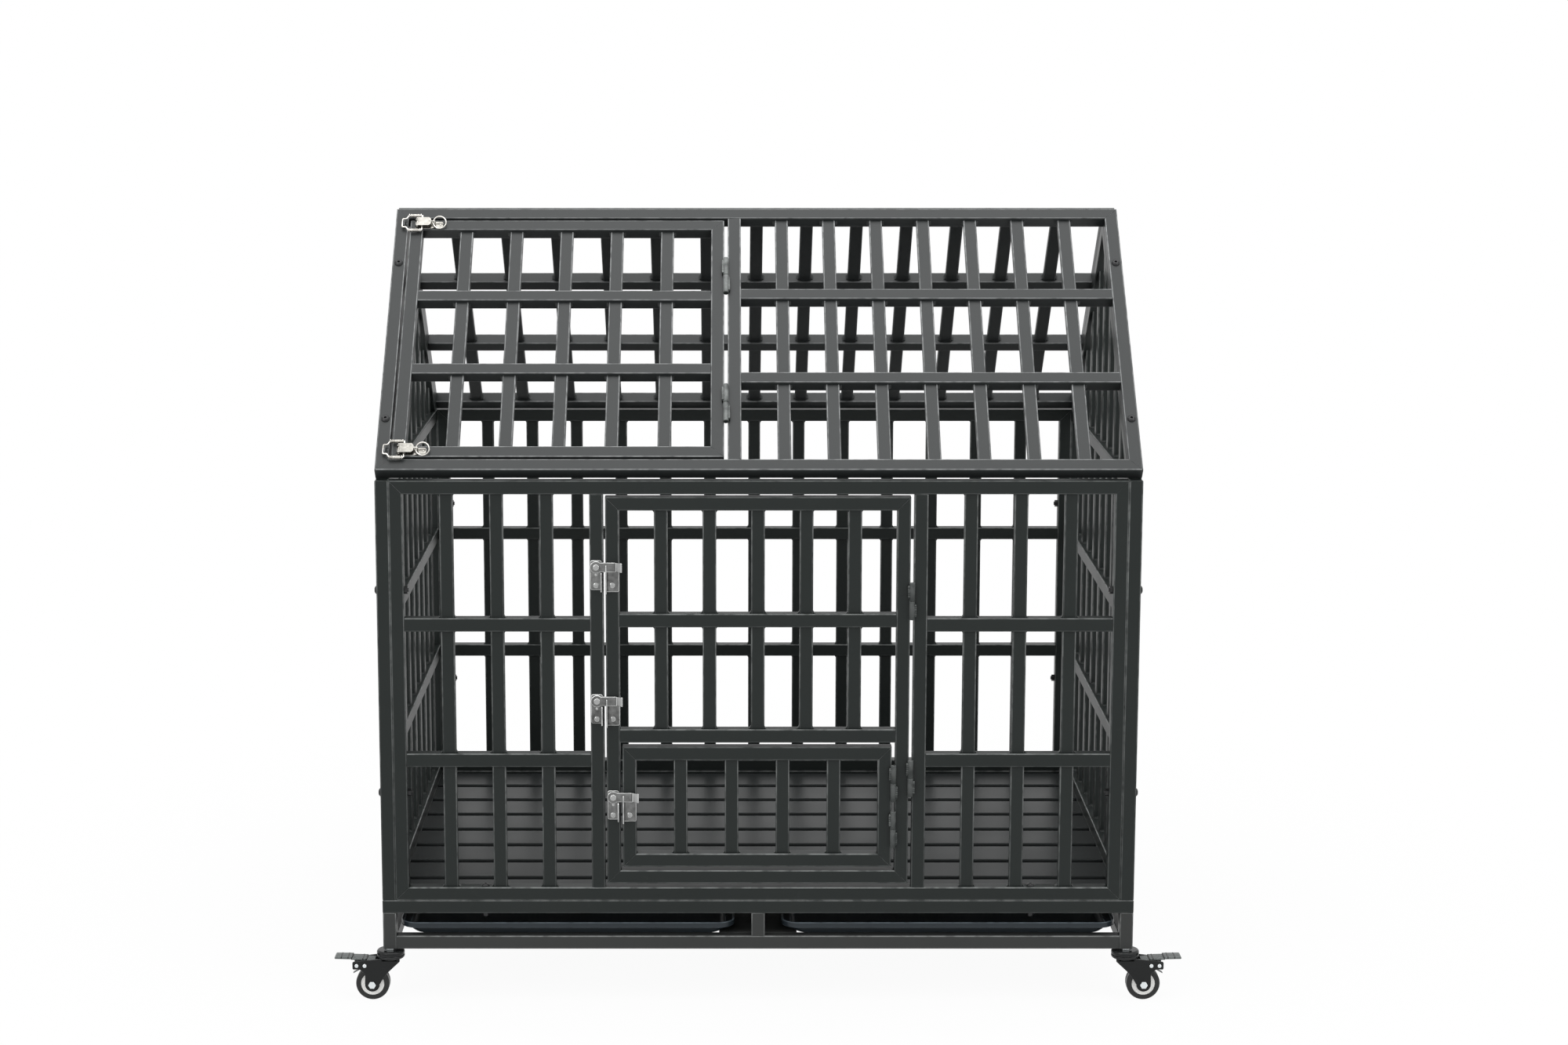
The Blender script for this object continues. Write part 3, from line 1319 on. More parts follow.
@dataclass
class FlipLatches(Fitting):
    """Flip latches on both doors: plate, keeper, turning arm with its grip, rivets and cross screws."""

    heights: Pair = (504.0, 304.0)
    feeder_height: float = 158.5
    sheet: float = 2.0
    edge: float = 0.9
    flange_edge: float = 0.8
    plate_width: float = 17.0
    plate_below: float = 34.0
    plate_above: float = 10.0
    plate_corner: float = 3.2
    edge_inset: float = 2.0
    keeper_below: float = 37.0
    keeper_above: float = 6.0
    keeper_corner: float = 2.6
    flange_reach: float = 9.0
    flange_below: float = 3.0
    hole_radius: float = 2.3
    arm_gap: float = 0.3
    arm_thick: float = 2.5
    arm_height: float = 18.0
    strap_height: float = 14.0
    strap_lap: float = 0.5
    arm_length: float = 38.0
    grip_reach: float = 10.6
    grip_slant: float = 9.0
    grip_lap: float = 2.0
    grip_thick: float = 1.5
    rivet_radius: float = 4.8
    rivet_height: float = 2.0
    rivet_shank: float = 5.2
    nub_radius: float = 2.2
    nub_height: float = 1.1
    nub_drop: float = 11.5
    screw_radius: float = 4.0
    screw_height: float = 1.8
    screw_drop: float = 27.0
    door_gap: float = 3.0
    feeder_gap: float = 3.5

    @property
    def back(self) -> float:
        """Back of the arm, inward from the tubes' faces."""
        return -self.sheet - self.arm_gap

    @property
    def front(self) -> float:
        """Place just before the arm, inward from the tubes' faces."""
        return self.back - self.arm_thick - self.arm_gap

    @property
    def shoulder(self) -> float:
        """Upper end of the flanges, just below the arm's strap."""
        return -self.strap_height / 2 - self.arm_gap

    def build(self) -> None:
        """Builds and dresses the latches of both doors."""
        door_x = -self.sizes.doorway / 2 - self.edge_inset - self.plate_width / 2
        feeder_x = self.doors.feeder[0] - self.feeder_gap - self.edge_inset - self.plate_width / 2
        pivots, feeder = [(door_x, height) for height in self.heights], [(feeder_x, self.feeder_height)]
        keepers, feeder_keeper = self.keepers(pivots, self.door_gap), self.keepers(feeder, self.feeder_gap)
        plate, keeper, screw = self.plate(), self.keeper(), [self.screw()]
        bright = [self.rivet(), self.nub(), *screw]
        pieces = [
            ("door_latch_sheets", "frame", ["door_latch_plates"], LATCH_STEEL, self.at(plate, pivots)),
            ("door_latch_pivots", "frame", ["door_latch_rivets"], SCREW_STEEL, self.at(bright, pivots)),
            ("door_keepers", "front_door_body", ["door_latch_keepers"], LATCH_STEEL,
             self.at(keeper, keepers)),
            ("door_latch_screws", "front_door_body", ["door_screws"], SCREW_STEEL,
             self.at(screw, keepers) + self.at(bright, feeder)),
            ("feeder_latch_sheet", "front_door_body", ["feeder_latch_plate"], LATCH_STEEL,
             self.at(plate, feeder)),
            ("feeder_keeper", "feeder_door_body", ["feeder_latch_keeper"], LATCH_STEEL,
             self.at(keeper, feeder_keeper)),
            ("feeder_keeper_screw", "feeder_door_body", [], SCREW_STEEL, self.at(screw, feeder_keeper))]
        for name, pivot in zip(("upper", "lower", "feeder"), pivots + feeder):
            body, node = name + "_arm_body", name + "_latch_arm"
            pieces += [(name + "_flip_arm", body, [node], LATCH_STEEL, self.at([self.arm()], [pivot])),
                       (name + "_flip_grip", body, [], SCREW_STEEL, self.at([self.grip()], [pivot]))]
        for piece in pieces:
            self.piece(*piece)

    def keepers(self, pivots: list[Pair], gap: float) -> list[Pair]:
        """Middles of the keepers beside some pivots, for a gap between the two tubes."""
        beside = self.plate_width / 2 + self.edge_inset + gap + self.sizes.tube / 2
        return [(x + beside, z) for x, z in pivots]

    def at(self, skins: list[Array], places: list[Pair]) -> list[Array]:
        """Copies of some skins at places on the front wall."""
        return [self.frames.front.place(skin + np.array([x, 0.0, z])) for x, z in places for skin in skins]

    def plate(self) -> list[Array]:
        """Latch plate: a rounded sheet, and its bent flange with a hole.

        Returns:
            Skins about the pivot.
        """
        half, low, reach = self.plate_width / 2, -self.plate_below, self.flange_reach
        face = box_outline(-half, half, low, self.plate_above, self.plate_corner)
        flange = box_outline(-reach, 0, low - self.flange_below, self.shoulder, [3.0, 0.3, 0.3, 3.0])
        hole_out, hole_down = 1, 4
        hole = (-reach / 2 - hole_out, low / 2 - hole_down)
        return [lay(slab(face, -self.sheet, 0, self.edge), Axis.INWARD),
                lay(pierced_slab(flange, hole, self.hole_radius, half - self.sheet, half, self.flange_edge),
                    Axis.ACROSS)]

    def keeper(self) -> list[Array]:
        """Keeper: a rounded sheet, and a flange whose front prong stands before the arm.

        Returns:
            Skins about the keeper's middle at the pivot's height.
        """
        half, low, reach = self.sizes.tube / 2, -self.keeper_below, self.flange_reach
        foot, top, prong = low - self.flange_below, self.strap_height / 4, self.front
        face = box_outline(-half, half, low, self.keeper_above, self.keeper_corner)
        flange = rounded_outline([(-reach, foot), (0, foot), (0, self.shoulder), (prong, self.shoulder),
                                  (prong, top), (-reach, top)], [2.6, 0.3, 0.3, 0.7, 1.2, 1.6])
        return [lay(slab(face, -self.sheet, 0, self.edge), Axis.INWARD),
                lay(slab(flange, -half, -half + self.sheet, self.flange_edge), Axis.ACROSS)]

    def arm(self) -> Array:
        """Arm: a disc that runs into a strap.

        Returns:
            Skin about the pivot.
        """
        half, radius = self.strap_height / 2, self.arm_height / 2
        meet = math.asin(half / radius)
        disc = radius * on_circle(np.linspace(meet, TURN - meet, 40))
        end = self.arm_length - self.grip_slant + self.strap_lap
        outline = np.vstack([disc, [(end, -half), (end, half)]])
        return lay(slab(outline, self.back - self.arm_thick, self.back, self.edge), Axis.INWARD)

    def grip(self) -> Array:
        """Grip: the arm's end, bent forward at a slant and worn bright by fingers.

        Returns:
            Skin about the pivot.
        """
        back, front, half = self.back, self.back - self.arm_thick, self.strap_height / 2
        lap, thick, tip, end = self.grip_lap, self.grip_thick, -self.grip_reach, self.arm_length
        bend = end - self.grip_slant
        outline = rounded_outline([(bend - lap, front), (bend, front), (end - lap, tip), (end, tip),
                                   (end, tip + thick), (bend + thick, back), (bend - lap, back)],
                                  [0.2, 1.0, 0.6, 0.6, 0.5, 1.0, 0.2])
        return lay(slab(outline, -half, half, self.flange_edge), Axis.UPWARD)

    @staticmethod
    def head(grid: Array, stand: float, drop: float = 0.0) -> Array:
        """A head turned to face forward, at a place inward and a drop below the pivot."""
        return lay(grid * np.array([1, 1, -1]), Axis.INWARD) + np.array([0.0, stand, -drop])

    def rivet(self) -> Array:
        """Round rivet head that holds the arm, with its shank."""
        return self.head(dome(self.rivet_radius, self.rivet_height, self.rivet_shank), self.front)

    def nub(self) -> Array:
        """Small rivet head between the pivot and the screw."""
        return self.head(dome(self.nub_radius, self.nub_height, segments=28), -self.sheet, self.nub_drop)

    def screw(self) -> Array:
        """Cross screw below the pivot."""
        return self.head(cross_screw(self.screw_radius, self.screw_height), -self.sheet, self.screw_drop)


@dataclass
class DrawLatches(Fitting):
    """Two spring draw latches on the hatch: base, lever, wire loop, springs, pull ring and catch."""

    pivot_height: float = 4.8
    pivot_in: float = 11.0
    throw: float = 7.5
    reach: float = 12.0
    wire_radius: float = 1.3
    wire_bend: float = 2.4
    half_width: float = 15.0
    nose_half: float = 8.3
    nose_gap: float = 0.6
    jog_ahead: float = 1.5
    jog_run: float = 3.5
    lever_half: float = 8.3
    lever_length: float = 21.5
    lever_ahead: float = 1.0
    lever_taper: float = 3.0
    lever_end_half: float = 4.6
    lever_rise: float = 3.2
    sheet: float = 1.5
    edge: float = 0.4
    thin_edge: float = 0.3
    lever_edge: float = 0.5
    sink: float = 0.2
    ear_half: float = 3.0
    pin_radius: float = 1.5
    spring_wire: float = 1.25
    coil_radius: float = 2.3
    curls: int = 9
    curl_steps: int = 18
    collar_radius: float = 3.3
    collar_core: float = 0.8
    collar_thick: float = 1.5
    spring_ahead: float = 1.0
    spring_behind: float = 3.0
    lip_proud: float = 1.0
    cheek_ahead: float = 3.0
    cheek_round: float = 2.9
    cheek_lap: float = 0.6
    cheek_back: float = 1.4
    fin_root: float = 4.0
    fin_tip: float = 3.8
    fin_drop: float = 2.6
    fin_half: float = 0.8
    fin_hole: float = 2.4
    ring_radius: float = 9.8
    ring_lean: float = 22.0
    ring_lift: float = 1.0
    ring_ahead: float = 3.2
    ring_wire: float = 1.1
    ring_turns: float = 1.95
    ring_rise: float = 0.8
    base_ahead: float = 3.2
    base_tail: float = 15.0
    base_tail_half: float = 5.6
    neck: float = 3.0
    ear_gap: float = 0.3
    ear_sheets: float = 1.2
    pin_proud: float = 0.5
    base_rivet: Pair = (2.2, 1.0)
    base_rivet_inset: float = 4.5
    catch_rivet: Pair = (2.0, 1.2)

    def __post_init__(self) -> None:
        """Works out the places of pivots and springs along the crate."""
        edge, _, low, high = self.doors.hatch
        half = self.sizes.tube / 2
        self.lever_x = edge + self.pivot_in
        self.loop_x = self.lever_x + self.throw
        self.lever_end = self.lever_x + self.lever_length
        self.ring_x = self.lever_end + self.ring_ahead
        self.nose_x = edge - self.reach
        self.spring_start, self.spring_end = edge - self.spring_ahead, self.loop_x - self.spring_behind
        self.slopes = {"lower": low + half, "upper": high - half}

    def build(self) -> None:
        """Builds and dresses both latches."""
        bases, catches = [], []
        for name, slope in self.slopes.items():
            bases += self.at(slope, self.base())
            catches += self.at(slope, self.catch())
            for part, body, skins in (("lever", "lever", self.lever()), ("loop", "loop", self.loop()),
                                      ("springs", "loop", self.springs()), ("ring", "ring", [self.ring()])):
                self.piece(f"{name}_draw_{part}", f"{name}_{body}_body", [f"{name}_latch_{part}"], NICKEL,
                           self.at(slope, skins))
        self.piece("draw_latch_plates", "roof_hatch_body", ["roof_latch_bases"], NICKEL, bases)
        self.piece("draw_latch_catches", "frame", ["roof_latch_catches"], ROOF_PAINT, catches)

    def at(self, slope: float, skins: list[Array]) -> list[Array]:
        """Places skins given as (along the crate, up the slope, height above the tubes)."""
        laid = [lay(skin * np.array([1, 1, -1]), Axis.INWARD) + slope * Z_AXIS for skin in skins]
        return [self.frames.front_roof.place(skin) for skin in laid]

    def pin(self, x: float, half: float) -> Array:
        """Cross pin with eased ends at a place along the crate."""
        rod = eased_rod(0.1, self.pin_radius, -half, half, 28)
        return lay(rod, Axis.INWARD) + np.array([x, 0.0, self.pivot_height])

    def base(self) -> list[Array]:
        """Base: a plate that narrows under the ring, with a rivet, two ears and the lever's pin.

        Returns:
            Skins (along, up the slope, height).
        """
        x, half, tip, sheet = self.lever_x, self.lever_half, self.base_tail_half, self.sheet
        ring, tail, top = self.ring_x, self.ring_x + self.base_tail, self.pivot_height + self.ear_half
        plate = mirrored_outline([(x - self.base_ahead, half), (ring - self.neck, half),
                                  (ring + self.neck, tip), (tail, tip)], [1.5, 2.0, 2.0, 4.0])
        ear = box_outline(x - self.ear_half, x + self.ear_half, self.sink, top, [0.1, 0.1, 2.9, 2.9])
        outer = half - sheet - self.ear_gap
        inner = half - (1 + self.ear_sheets) * sheet - self.ear_gap
        rivet = dome(*self.base_rivet) + np.array([tail - self.base_rivet_inset, 0.0, sheet])
        return [slab(plate, 0, sheet, self.edge), rivet, self.pin(x, half + self.pin_proud),
                *(lay(slab(ear, *ends, self.thin_edge), Axis.INWARD)
                  for ends in ((inner, outer), (-outer, -inner)))]

    def catch(self) -> list[Array]:
        """Catch: a plate with an upright lip and a rivet head.

        Returns:
            Skins (along, up the slope, height).
        """
        inner, sheet = -self.sizes.inner_length, self.sheet
        lip = self.nose_x + self.wire_radius + self.nose_gap
        half = self.nose_half - self.wire_radius - self.nose_gap
        top = self.pivot_height + self.wire_radius + self.lip_proud
        plate = box_outline(lip, inner - self.nose_gap, -half, half, [0.5, 1.6, 1.6, 0.5])
        stand = box_outline(-half, half, self.sink, top, [0.1, 0.1, 1.8, 1.8])
        rivet = dome(*self.catch_rivet) + np.array([(lip + sheet + inner) / 2, 0.0, sheet])
        return [slab(plate, 0, sheet, self.edge), rivet,
                lay(slab(stand, lip, lip + sheet, self.edge), Axis.ACROSS)]

    def lever(self) -> list[Array]:
        """Lever: a top plate that narrows to the ring, two cheeks, and a pierced fin.

        Returns:
            Skins (along, up the slope, height).
        """
        x, far, half, sheet = self.lever_x, self.lever_end, self.lever_half, self.sheet
        pivot = self.pivot_height
        low, ahead = pivot + self.lever_rise, self.loop_x + self.cheek_ahead
        top = mirrored_outline([(x + self.lever_ahead, half), (far - self.lever_taper, half),
                                (far, self.lever_end_half)], [1.2, 1.5, 1.5])
        cheek = rounded_outline([(x - self.cheek_round, pivot - self.cheek_round),
                                 (ahead, pivot - self.cheek_ahead), (ahead, low + self.cheek_lap),
                                 (x - self.cheek_back, low + self.cheek_lap)], [2.7, 2.7, 0.6, 1.2])
        fin = box_outline(far - self.fin_root, self.ring_x + self.fin_tip, pivot - self.fin_drop, low + sheet,
                          [0.4, 3.0, 3.0, 0.4])
        fin_skin = pierced_slab(fin, (self.ring_x, pivot + self.ring_lift), self.fin_hole, -self.fin_half,
                                self.fin_half, self.thin_edge)
        return [slab(top, low, low + sheet, self.lever_edge), lay(fin_skin, Axis.INWARD),
                *(lay(slab(cheek, start, start + sheet, self.thin_edge), Axis.INWARD)
                  for start in (-half, half - sheet))]

    def loop(self) -> list[Array]:
        """Loop: bent wire round the catch, with collars at both ends of the springs.

        Returns:
            Skins (along, up the slope, height).
        """
        jog, legs = self.spring_start - self.jog_ahead, (-self.half_width, self.half_width)
        side = [(self.loop_x, self.half_width), (jog, self.half_width), (jog - self.jog_run, self.nose_half),
                (self.nose_x, self.nose_half)]
        corners = [(a, b, self.pivot_height) for a, b in side + [(a, -b) for a, b in side[::-1]]]
        collar = eased_rod(self.collar_core, self.collar_radius, 0.0, self.collar_thick, 36)
        return [wire(smooth_profile(corners, self.wire_bend, 6), self.wire_radius, 16),
                self.pin(self.loop_x, self.half_width),
                *(lay(collar, Axis.ACROSS) + np.array([start, leg, self.pivot_height])
                  for start in (jog, self.spring_end) for leg in legs)]

    def springs(self) -> list[Array]:
        """Springs: a round wire carried along a helix about each of the loop's legs.

        Returns:
            Skins (along, up the slope, height).
        """
        turn = np.linspace(0.0, TURN * self.curls, self.curl_steps * self.curls + 1)
        inset = self.spring_wire
        along = np.linspace(self.spring_start + inset, self.spring_end - inset, len(turn))
        helix = np.column_stack([along, self.coil_radius * on_circle(turn)]) + self.pivot_height * Z_AXIS
        return [wire(helix + way * self.half_width * Y_AXIS, self.spring_wire / 2, 10) for way in WAYS]

    def ring(self) -> Array:
        """Pull ring: a split ring of two close turns that leans down the slope.

        Returns:
            Skin (along, up the slope, height).
        """
        turn = np.linspace(0.0, TURN * self.ring_turns, 150)
        lift = np.linspace(-self.ring_rise, self.ring_rise, len(turn))
        run, rise = on_circle(np.radians(self.ring_lean))
        swing = self.ring_radius * np.sin(turn)
        path = np.stack([self.ring_x + self.ring_radius * (1 + np.cos(turn)), swing * run - lift * rise,
                         self.pivot_height + self.ring_lift + swing * rise + lift * run], axis=1)
        return wire(path, self.ring_wire, 12)


@dataclass
class Casters(Assembly):
    """Four swivel casters: head and fork, axle, tyre, rim and foot brake with grip strips."""

    wheel_radius: float = 25.0
    tyre_width: float = 20.0
    rim_radius: float = 18.3
    seat_gap: float = 0.3
    tyre_lip: float = 1.0
    lip_thick: float = 0.8
    seam_depth: float = 0.25
    boss_radius: float = 11.0
    trail: float = 27.0
    fork_half: float = 12.0
    cheek: float = 2.5
    cheek_edge: float = 0.7
    head_radius: float = 20.8
    head_height: float = 13.0
    stem_radius: float = 5.2
    collar: float = 3.0
    crown: float = 2.5
    crown_span: Pair = (-13.0, 15.0)
    crown_edge: float = 0.6
    axle_radius: float = 4.0
    nut_half: float = 5.0
    nut_height: float = 4.0
    hub_gap: float = 0.5
    web_half: float = 8.7
    pedal_reach: float = 83.0
    pedal_half: float = 11.0
    edge: float = 0.5
    grip_proud: float = 0.25
    grip_corner: float = 0.5
    brake: Pair = (38.0, 54.0)
    stop: Pair = (50.0, 54.0)

    @property
    def axle_place(self) -> Array:
        """Place of the axle: trail and height."""
        return np.array([self.trail, self.wheel_radius])

    @property
    def outer(self) -> float:
        """Half the width over the fork's cheeks."""
        return self.fork_half + self.cheek

    def build(self) -> None:
        """Builds and dresses the casters at the four corners."""
        parts = (("fork", "swivel", CASTER_BLACK, self.fork()), ("axle", "swivel", ZINC, self.axle()),
                 ("tyre", "wheel", RUBBER, [self.tyre()]), ("rim", "wheel", IVORY, [self.rim()]),
                 ("pedal", "brake", PEDAL_GREY, self.pedal()), ("grips", "brake", RUBBER, self.grips()))
        for depth_name, depth in (("front", Side.LOW), ("rear", Side.HIGH)):
            for side_name, side in (("left", Side.LOW), ("right", Side.HIGH)):
                corner = f"{depth_name}_{side_name}"
                for part, body, finish, skins in parts:
                    nodes = [f"{corner}_{part}"] if part != "grips" else []
                    self.piece(f"{corner}_caster_{part}", f"{corner}_{body}", nodes, finish,
                               [self.turn(skin, side, depth) for skin in skins])
        self.book.dress("caster_stems", ZINC)

    def turn(self, grid: Array, side: Side, depth: Side) -> Array:
        """Moves points (trail, across, height) about the stem to a corner of the base."""
        x, y = self.sizes.half_length - self.sizes.tube / 2, self.sizes.half_depth - self.sizes.tube / 2
        return (grid + np.array([x, depth.value * y, 0.0])) * np.array([side.value, 1, 1])

    @staticmethod
    def across(grid: Array, place: Point, way: float = 1.0) -> Array:
        """Turns a lathe so that its axis runs across the wheel at a place (trail, height)."""
        return lay(grid * np.array([1, 1, way]), Axis.INWARD) + np.array([place[0], 0.0, place[1]])

    def fork(self) -> list[Array]:
        """Head with its seam groove, crown plate, and two cheeks with round axle bosses.

        Returns:
            Skins about the stem.
        """
        r, stem, outer = self.head_radius, self.stem_radius, self.outer
        top = self.sizes.caster_height - self.collar
        low = top - self.head_height
        groove, under = low + 0.45 * self.head_height, low - self.crown
        foot_ease, top_ease, groove_half, groove_depth, bend = 2.5, 2.0, 0.8, 1.6, 1.2
        head = smooth_profile([(stem, low), (r - foot_ease, low), (r, low + foot_ease),
                               (r, groove - groove_half), (r - groove_depth, groove),
                               (r, groove + groove_half), (r, top - top_ease), (r - top_ease, top),
                               (stem, top)], bend, 4)
        crown = box_outline(*self.crown_span, -outer, outer, 2.5)
        foot = self.axle_place + self.boss_radius * on_circle(np.linspace(math.pi, TURN, 25))
        stop, ahead, behind = np.array(self.stop), foot[-1], foot[0]
        rear = rounded_outline([ahead, ahead + [-0.5, 16], stop + [-5.5, -5.5], stop + [6.2, -6],
                                stop + [6.2, 6], (13, low + 2), (-14.5, low + 2), (-14.5, under),
                                behind + [-12, 18], behind + [-4, 7], behind],
                               [0.5, 4, 4, 2.5, 2.5, 6, 1, 1, 4, 3, 0.5])
        cheek = np.vstack([foot[1:-1], rear])
        return [lathe(head, 72), slab(crown, under, low + 0.3, self.crown_edge),
                *(lay(slab(cheek, start, start + self.cheek, self.cheek_edge), Axis.INWARD)
                  for start in (-outer, self.fork_half))]

    def axle(self) -> list[Array]:
        """Axle with hexagon ends, and two brake rivets with round heads.

        Returns:
            Skins about the stem.
        """
        outer, r, core = self.outer, self.axle_radius, 0.2
        shaft = lathe([(core, -outer), (r, -outer), (r, outer), (core, outer)], 32)
        hexagon = rounded_outline(self.nut_half / math.cos(math.pi / 6) * on_circle(spokes(6)), 0.5)
        nut = slab(hexagon, outer - 0.1, outer + self.nut_height, self.edge)
        rivet_radius, rivet_height, short = 2.9, 1.2, 0.5
        head = dome(rivet_radius, rivet_height, 2 * outer - short, 28) + outer * Z_AXIS
        skins = [self.across(shaft, self.axle_place)]
        for way in WAYS:
            skins.append(self.across(nut, self.axle_place, way))
            skins += [self.across(head, pin, way) for pin in (self.brake, self.stop)]
        return skins

    def wheel(self, section: Array) -> Array:
        """Closed section of (radius, place across the wheel) turned about the axle."""
        return self.across(lathe(np.vstack([section, section[:1]]), 72), self.axle_place)

    def tyre(self) -> Array:
        """Tyre: a rounded section with a fine middle seam and two lips on the rim.

        Returns:
            Skin about the stem.
        """
        half, seat, outer = self.tyre_width / 2, self.rim_radius + self.seat_gap, self.wheel_radius
        lip, back, bend = self.rim_radius - self.tyre_lip, half - self.lip_thick, (outer - seat) / 2
        sweep = on_circle(np.linspace(0.0, QUARTER, 8))[:, ::-1]
        seam_top, seam_foot, ledge = 0.6, 0.2, 1.0
        seam = [(outer, seam_top), (outer - self.seam_depth, seam_foot)]
        face = np.vstack([[(seat, back), (lip, back), (lip, half), (seat + ledge, half)],
                          np.array([outer, half]) - bend + bend * sweep, seam])
        return self.wheel(np.vstack([face, (face * [1, -1])[::-1]]))

    def rim(self) -> Array:
        """Rim: hub, thin web and outer band.

        Returns:
            Skin about the stem.
        """
        r, web, hub = self.rim_radius, self.web_half, self.fork_half - self.hub_gap
        half = self.tyre_width / 2 - self.lip_thick
        bore, hub_edge, hub_foot, band_foot, band_edge, bend = 4.1, 8.5, 9.5, 3.5, 2.5, 0.9
        face = smooth_profile([(bore, hub), (hub_edge, hub), (hub_foot, web), (r - band_foot, web),
                               (r - band_edge, half), (r, half)], bend)
        return self.wheel(np.vstack([face, (face * [1, -1])[::-1]]))

    def pedal(self) -> list[Array]:
        """Foot pedal: a thin stepped plate on a web, with boss, toe and leaf spring.

        Returns:
            Skins about the stem.
        """
        (x, z), half = self.brake, self.pedal_half
        pin, tip = np.array([x, z]), np.array([self.pedal_reach, z])
        plate = rounded_outline(np.vstack([
            pin + [(-3.5, 0), (3.5, 0), (3.5, 7.4)],
            tip + [(-27, 8.2), (-25.5, 9), (-1, 9.6), (0, 10.6)],
            tip + [(0, 11.8), (-1.5, 13), (-25, 12.6), (-26, 11.1)],
            pin + [(-1.5, 10.4), (-2.5, 8.9), (-15, 8.3), (-15, 5.9), (-3.5, 6.3)]]),
            [1, 1, 1, 0.4, 0.4, 0.5, 0.4, 0.4, 0.6, 0.6, 0.6, 0.5, 0.5, 0.6, 0.6, 1])
        leaf = rounded_outline(pin + [(2.6, -6), (18, -14.8), (18.5, -13.9), (3, -5)], 0.3)
        toe = tube_skin((x + 3.5, 0, z + 3), (x + 3.5, 0, z - 6.5), X_AXIS, Y_AXIS, (3.0, half), radius=0.8)
        return [lay(slab(plate, -half, half, self.edge), Axis.INWARD),
                self.across(eased_rod(2.1, 3.5, -half, half, 32), pin), toe,
                lay(slab(leaf, -half / 3, half / 3, 0.3), Axis.INWARD)]

    def grips(self) -> list[Array]:
        """Dark grip strips let into the pedal from side to side, and at its two steps.

        Returns:
            Skins about the stem.
        """
        (x, z), tip, end = self.brake, self.pedal_reach, self.pedal_half + self.grip_proud
        strips = ((tip - 10, 11.4, 1.9, 3.4), (tip - 20.2, 11.2, 1.9, 3.4), (tip - 25.6, 10.4, 1.8, 4.2),
                  (x + 2.7, 9.4, 1.9, 3.0), (x - 2.2, 8.2, 2.2, 4.4))
        return [tube_skin((along, -end, z + rise), (along, end, z + rise), X_AXIS, Z_AXIS, (width, tall),
                          radius=self.grip_corner) for along, rise, width, tall in strips]


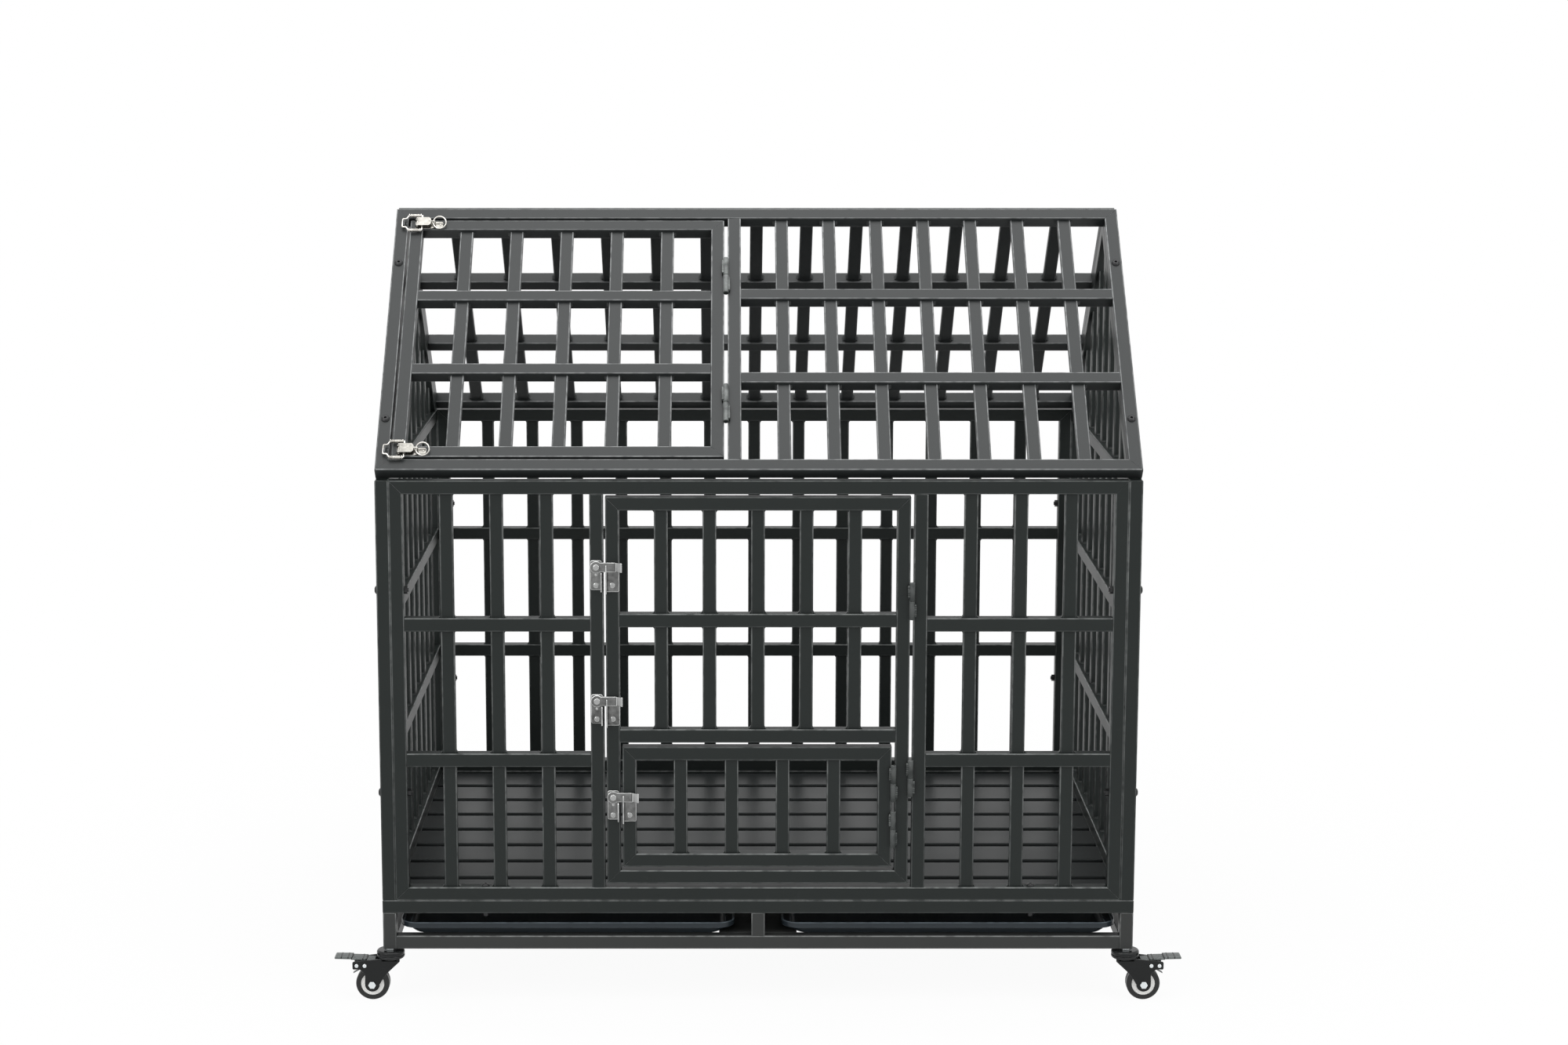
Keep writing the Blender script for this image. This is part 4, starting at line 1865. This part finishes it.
@dataclass
class Studio:
    """Camera at the photograph's angle, pale floor, soft lamps and a white surround."""

    camera_place: Point = (-0.04536, -4.8021, 1.4901)
    camera_pitch: float = 9.861
    sensor: float = 36.0
    lens: float = 70.69
    shift: float = 0.0360
    floor_half: float = 9.0
    floor_grey: float = 0.86
    floor_white: float = 0.95
    fade_start: float = 0.75
    fade_end: float = 1.7
    surround: float = 0.62

    def build(self) -> None:
        """Builds the camera, floor, lamps and world, and sets the view."""
        bpy.context.scene.view_settings.view_transform = "Standard"
        self.camera()
        self.floor()
        self.world()
        self.lamp("top_softbox", (0.0, -0.5, 3.4), (0.0, 0.0, 0.0), 3.0, 70.0)
        self.lamp("front_left_softbox", (-3.0, -3.2, 2.4), (62.0, 0.0, -43.0), 2.2, 42.0)
        self.lamp("front_right_softbox", (3.2, -2.6, 2.2), (63.0, 0.0, 51.0), 2.2, 30.0)

    @staticmethod
    def put(name: str, data: bpy.types.ID) -> bpy.types.Object:
        """Puts a new object into the scene.

        Args:
            name: Name of the object.
            data: Its mesh, lamp or camera.

        Returns:
            The object.
        """
        thing = bpy.data.objects.new(name, data)
        bpy.context.scene.collection.objects.link(thing)
        return thing

    def camera(self) -> None:
        """Camera from the fit to the photograph, level and pitched down."""
        data = bpy.data.cameras.new("photo_camera")
        data.sensor_fit = "HORIZONTAL"
        data.sensor_width = self.sensor
        data.lens = self.lens
        data.shift_x = self.shift
        camera = self.put("photo_camera", data)
        camera.location = self.camera_place
        camera.rotation_euler = (math.radians(90.0 - self.camera_pitch), 0.0, 0.0)
        bpy.context.scene.camera = camera

    @staticmethod
    def white_rays(graph: Graph) -> bpy.types.NodeSocket:
        """Tells rays that see the background from rays that only light: camera, mirror and through ones.

        Args:
            graph: Tree that takes the nodes.

        Returns:
            Socket that is 1 for rays that see, and 0 for others.
        """
        rays = graph.node("LightPath", {})
        seen = graph.calc("MAXIMUM", rays["Is Camera Ray"], rays["Is Glossy Ray"])
        return graph.calc("MAXIMUM", seen, rays["Is Transmission Ray"])

    def floor(self) -> None:
        """Pale floor that keeps part of the object's shadow and fades to white away from it."""
        line = np.linspace(-self.floor_half, self.floor_half, 3)
        points = np.stack([*np.meshgrid(line, line), np.zeros((3, 3))], axis=2).reshape(-1, 3)
        quads = np.arange(9).reshape(3, 3)[:-1, :-1].reshape(-1, 1) + np.array([0, 1, 4, 3])
        mesh = bpy.data.meshes.new("studio_floor")
        mesh.from_pydata(points, [], quads.tolist())
        floor = self.put("studio_floor", mesh)
        material = bpy.data.materials.new("pale_floor")
        material.use_nodes = True
        material.node_tree.nodes.clear()
        graph = Graph(material.node_tree)
        place = graph.node("TexCoord", {})["Object"]
        away = graph.node("VectorMath", {0: place}, operation="LENGTH")["Value"]
        fade = graph.node("MapRange", {"Value": away, "From Min": self.fade_start, "From Max": self.fade_end,
                                       "To Min": self.floor_white}, interpolation_type="SMOOTHSTEP")[0]
        matt = graph.node("BsdfDiffuse", {"Color": (*[self.floor_grey] * 3, 1.0)})[0]
        glow = graph.node("Emission", {})[0]
        share = graph.calc("MULTIPLY", self.white_rays(graph), fade)
        mixed = graph.node("MixShader", {"Fac": share, 1: matt, 2: glow})[0]
        graph.node("OutputMaterial", {"Surface": mixed})
        mesh.materials.append(material)

    def world(self) -> None:
        """White surround for rays that see it, and a softer one for its light on surfaces."""
        world = bpy.data.worlds.new("studio_world")
        bpy.context.scene.world = world
        world.use_nodes = True
        world.node_tree.nodes.clear()
        graph = Graph(world.node_tree)
        white = (1.0, 1.0, 1.0, 1.0)
        seen = graph.node("Background", {"Color": white})[0]
        lit = graph.node("Background", {"Color": white, "Strength": self.surround})[0]
        mixed = graph.node("MixShader", {"Fac": self.white_rays(graph), 1: lit, 2: seen})[0]
        graph.node("OutputWorld", {"Surface": mixed})

    def lamp(self, name: str, place: Point, turn: Point, size: float, energy: float) -> None:
        """Square soft lamp.

        Args:
            name: Name of the lamp.
            place: Where it hangs, in metres.
            turn: Its rotation in degrees.
            size: Side of the square in metres.
            energy: Its power in watts.
        """
        data = bpy.data.lights.new(name, "AREA")
        data.shape = "SQUARE"
        data.size = size
        data.energy = energy
        lamp = self.put(name, data)
        lamp.location = place
        lamp.rotation_euler = tuple(math.radians(angle) for angle in turn)


def main() -> None:
    """Builds the crate's pieces in order, then the studio, and notes both boxes."""
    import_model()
    sizes = CrateSizes()
    frames = Frames(sizes)
    book = FinishBook()
    Cage(sizes, book, frames).build()
    doors = Doors(sizes, book, frames)
    doors.build()
    Hinges(sizes, book, frames, doors).build()
    Trays(sizes, book).build()
    FlipLatches(sizes, book, frames, doors).build()
    DrawLatches(sizes, book, frames, doors).build()
    Casters(sizes, book).build()
    Studio().build()


if __name__ == "__main__":
    logging.basicConfig(level=logging.INFO)
    main()
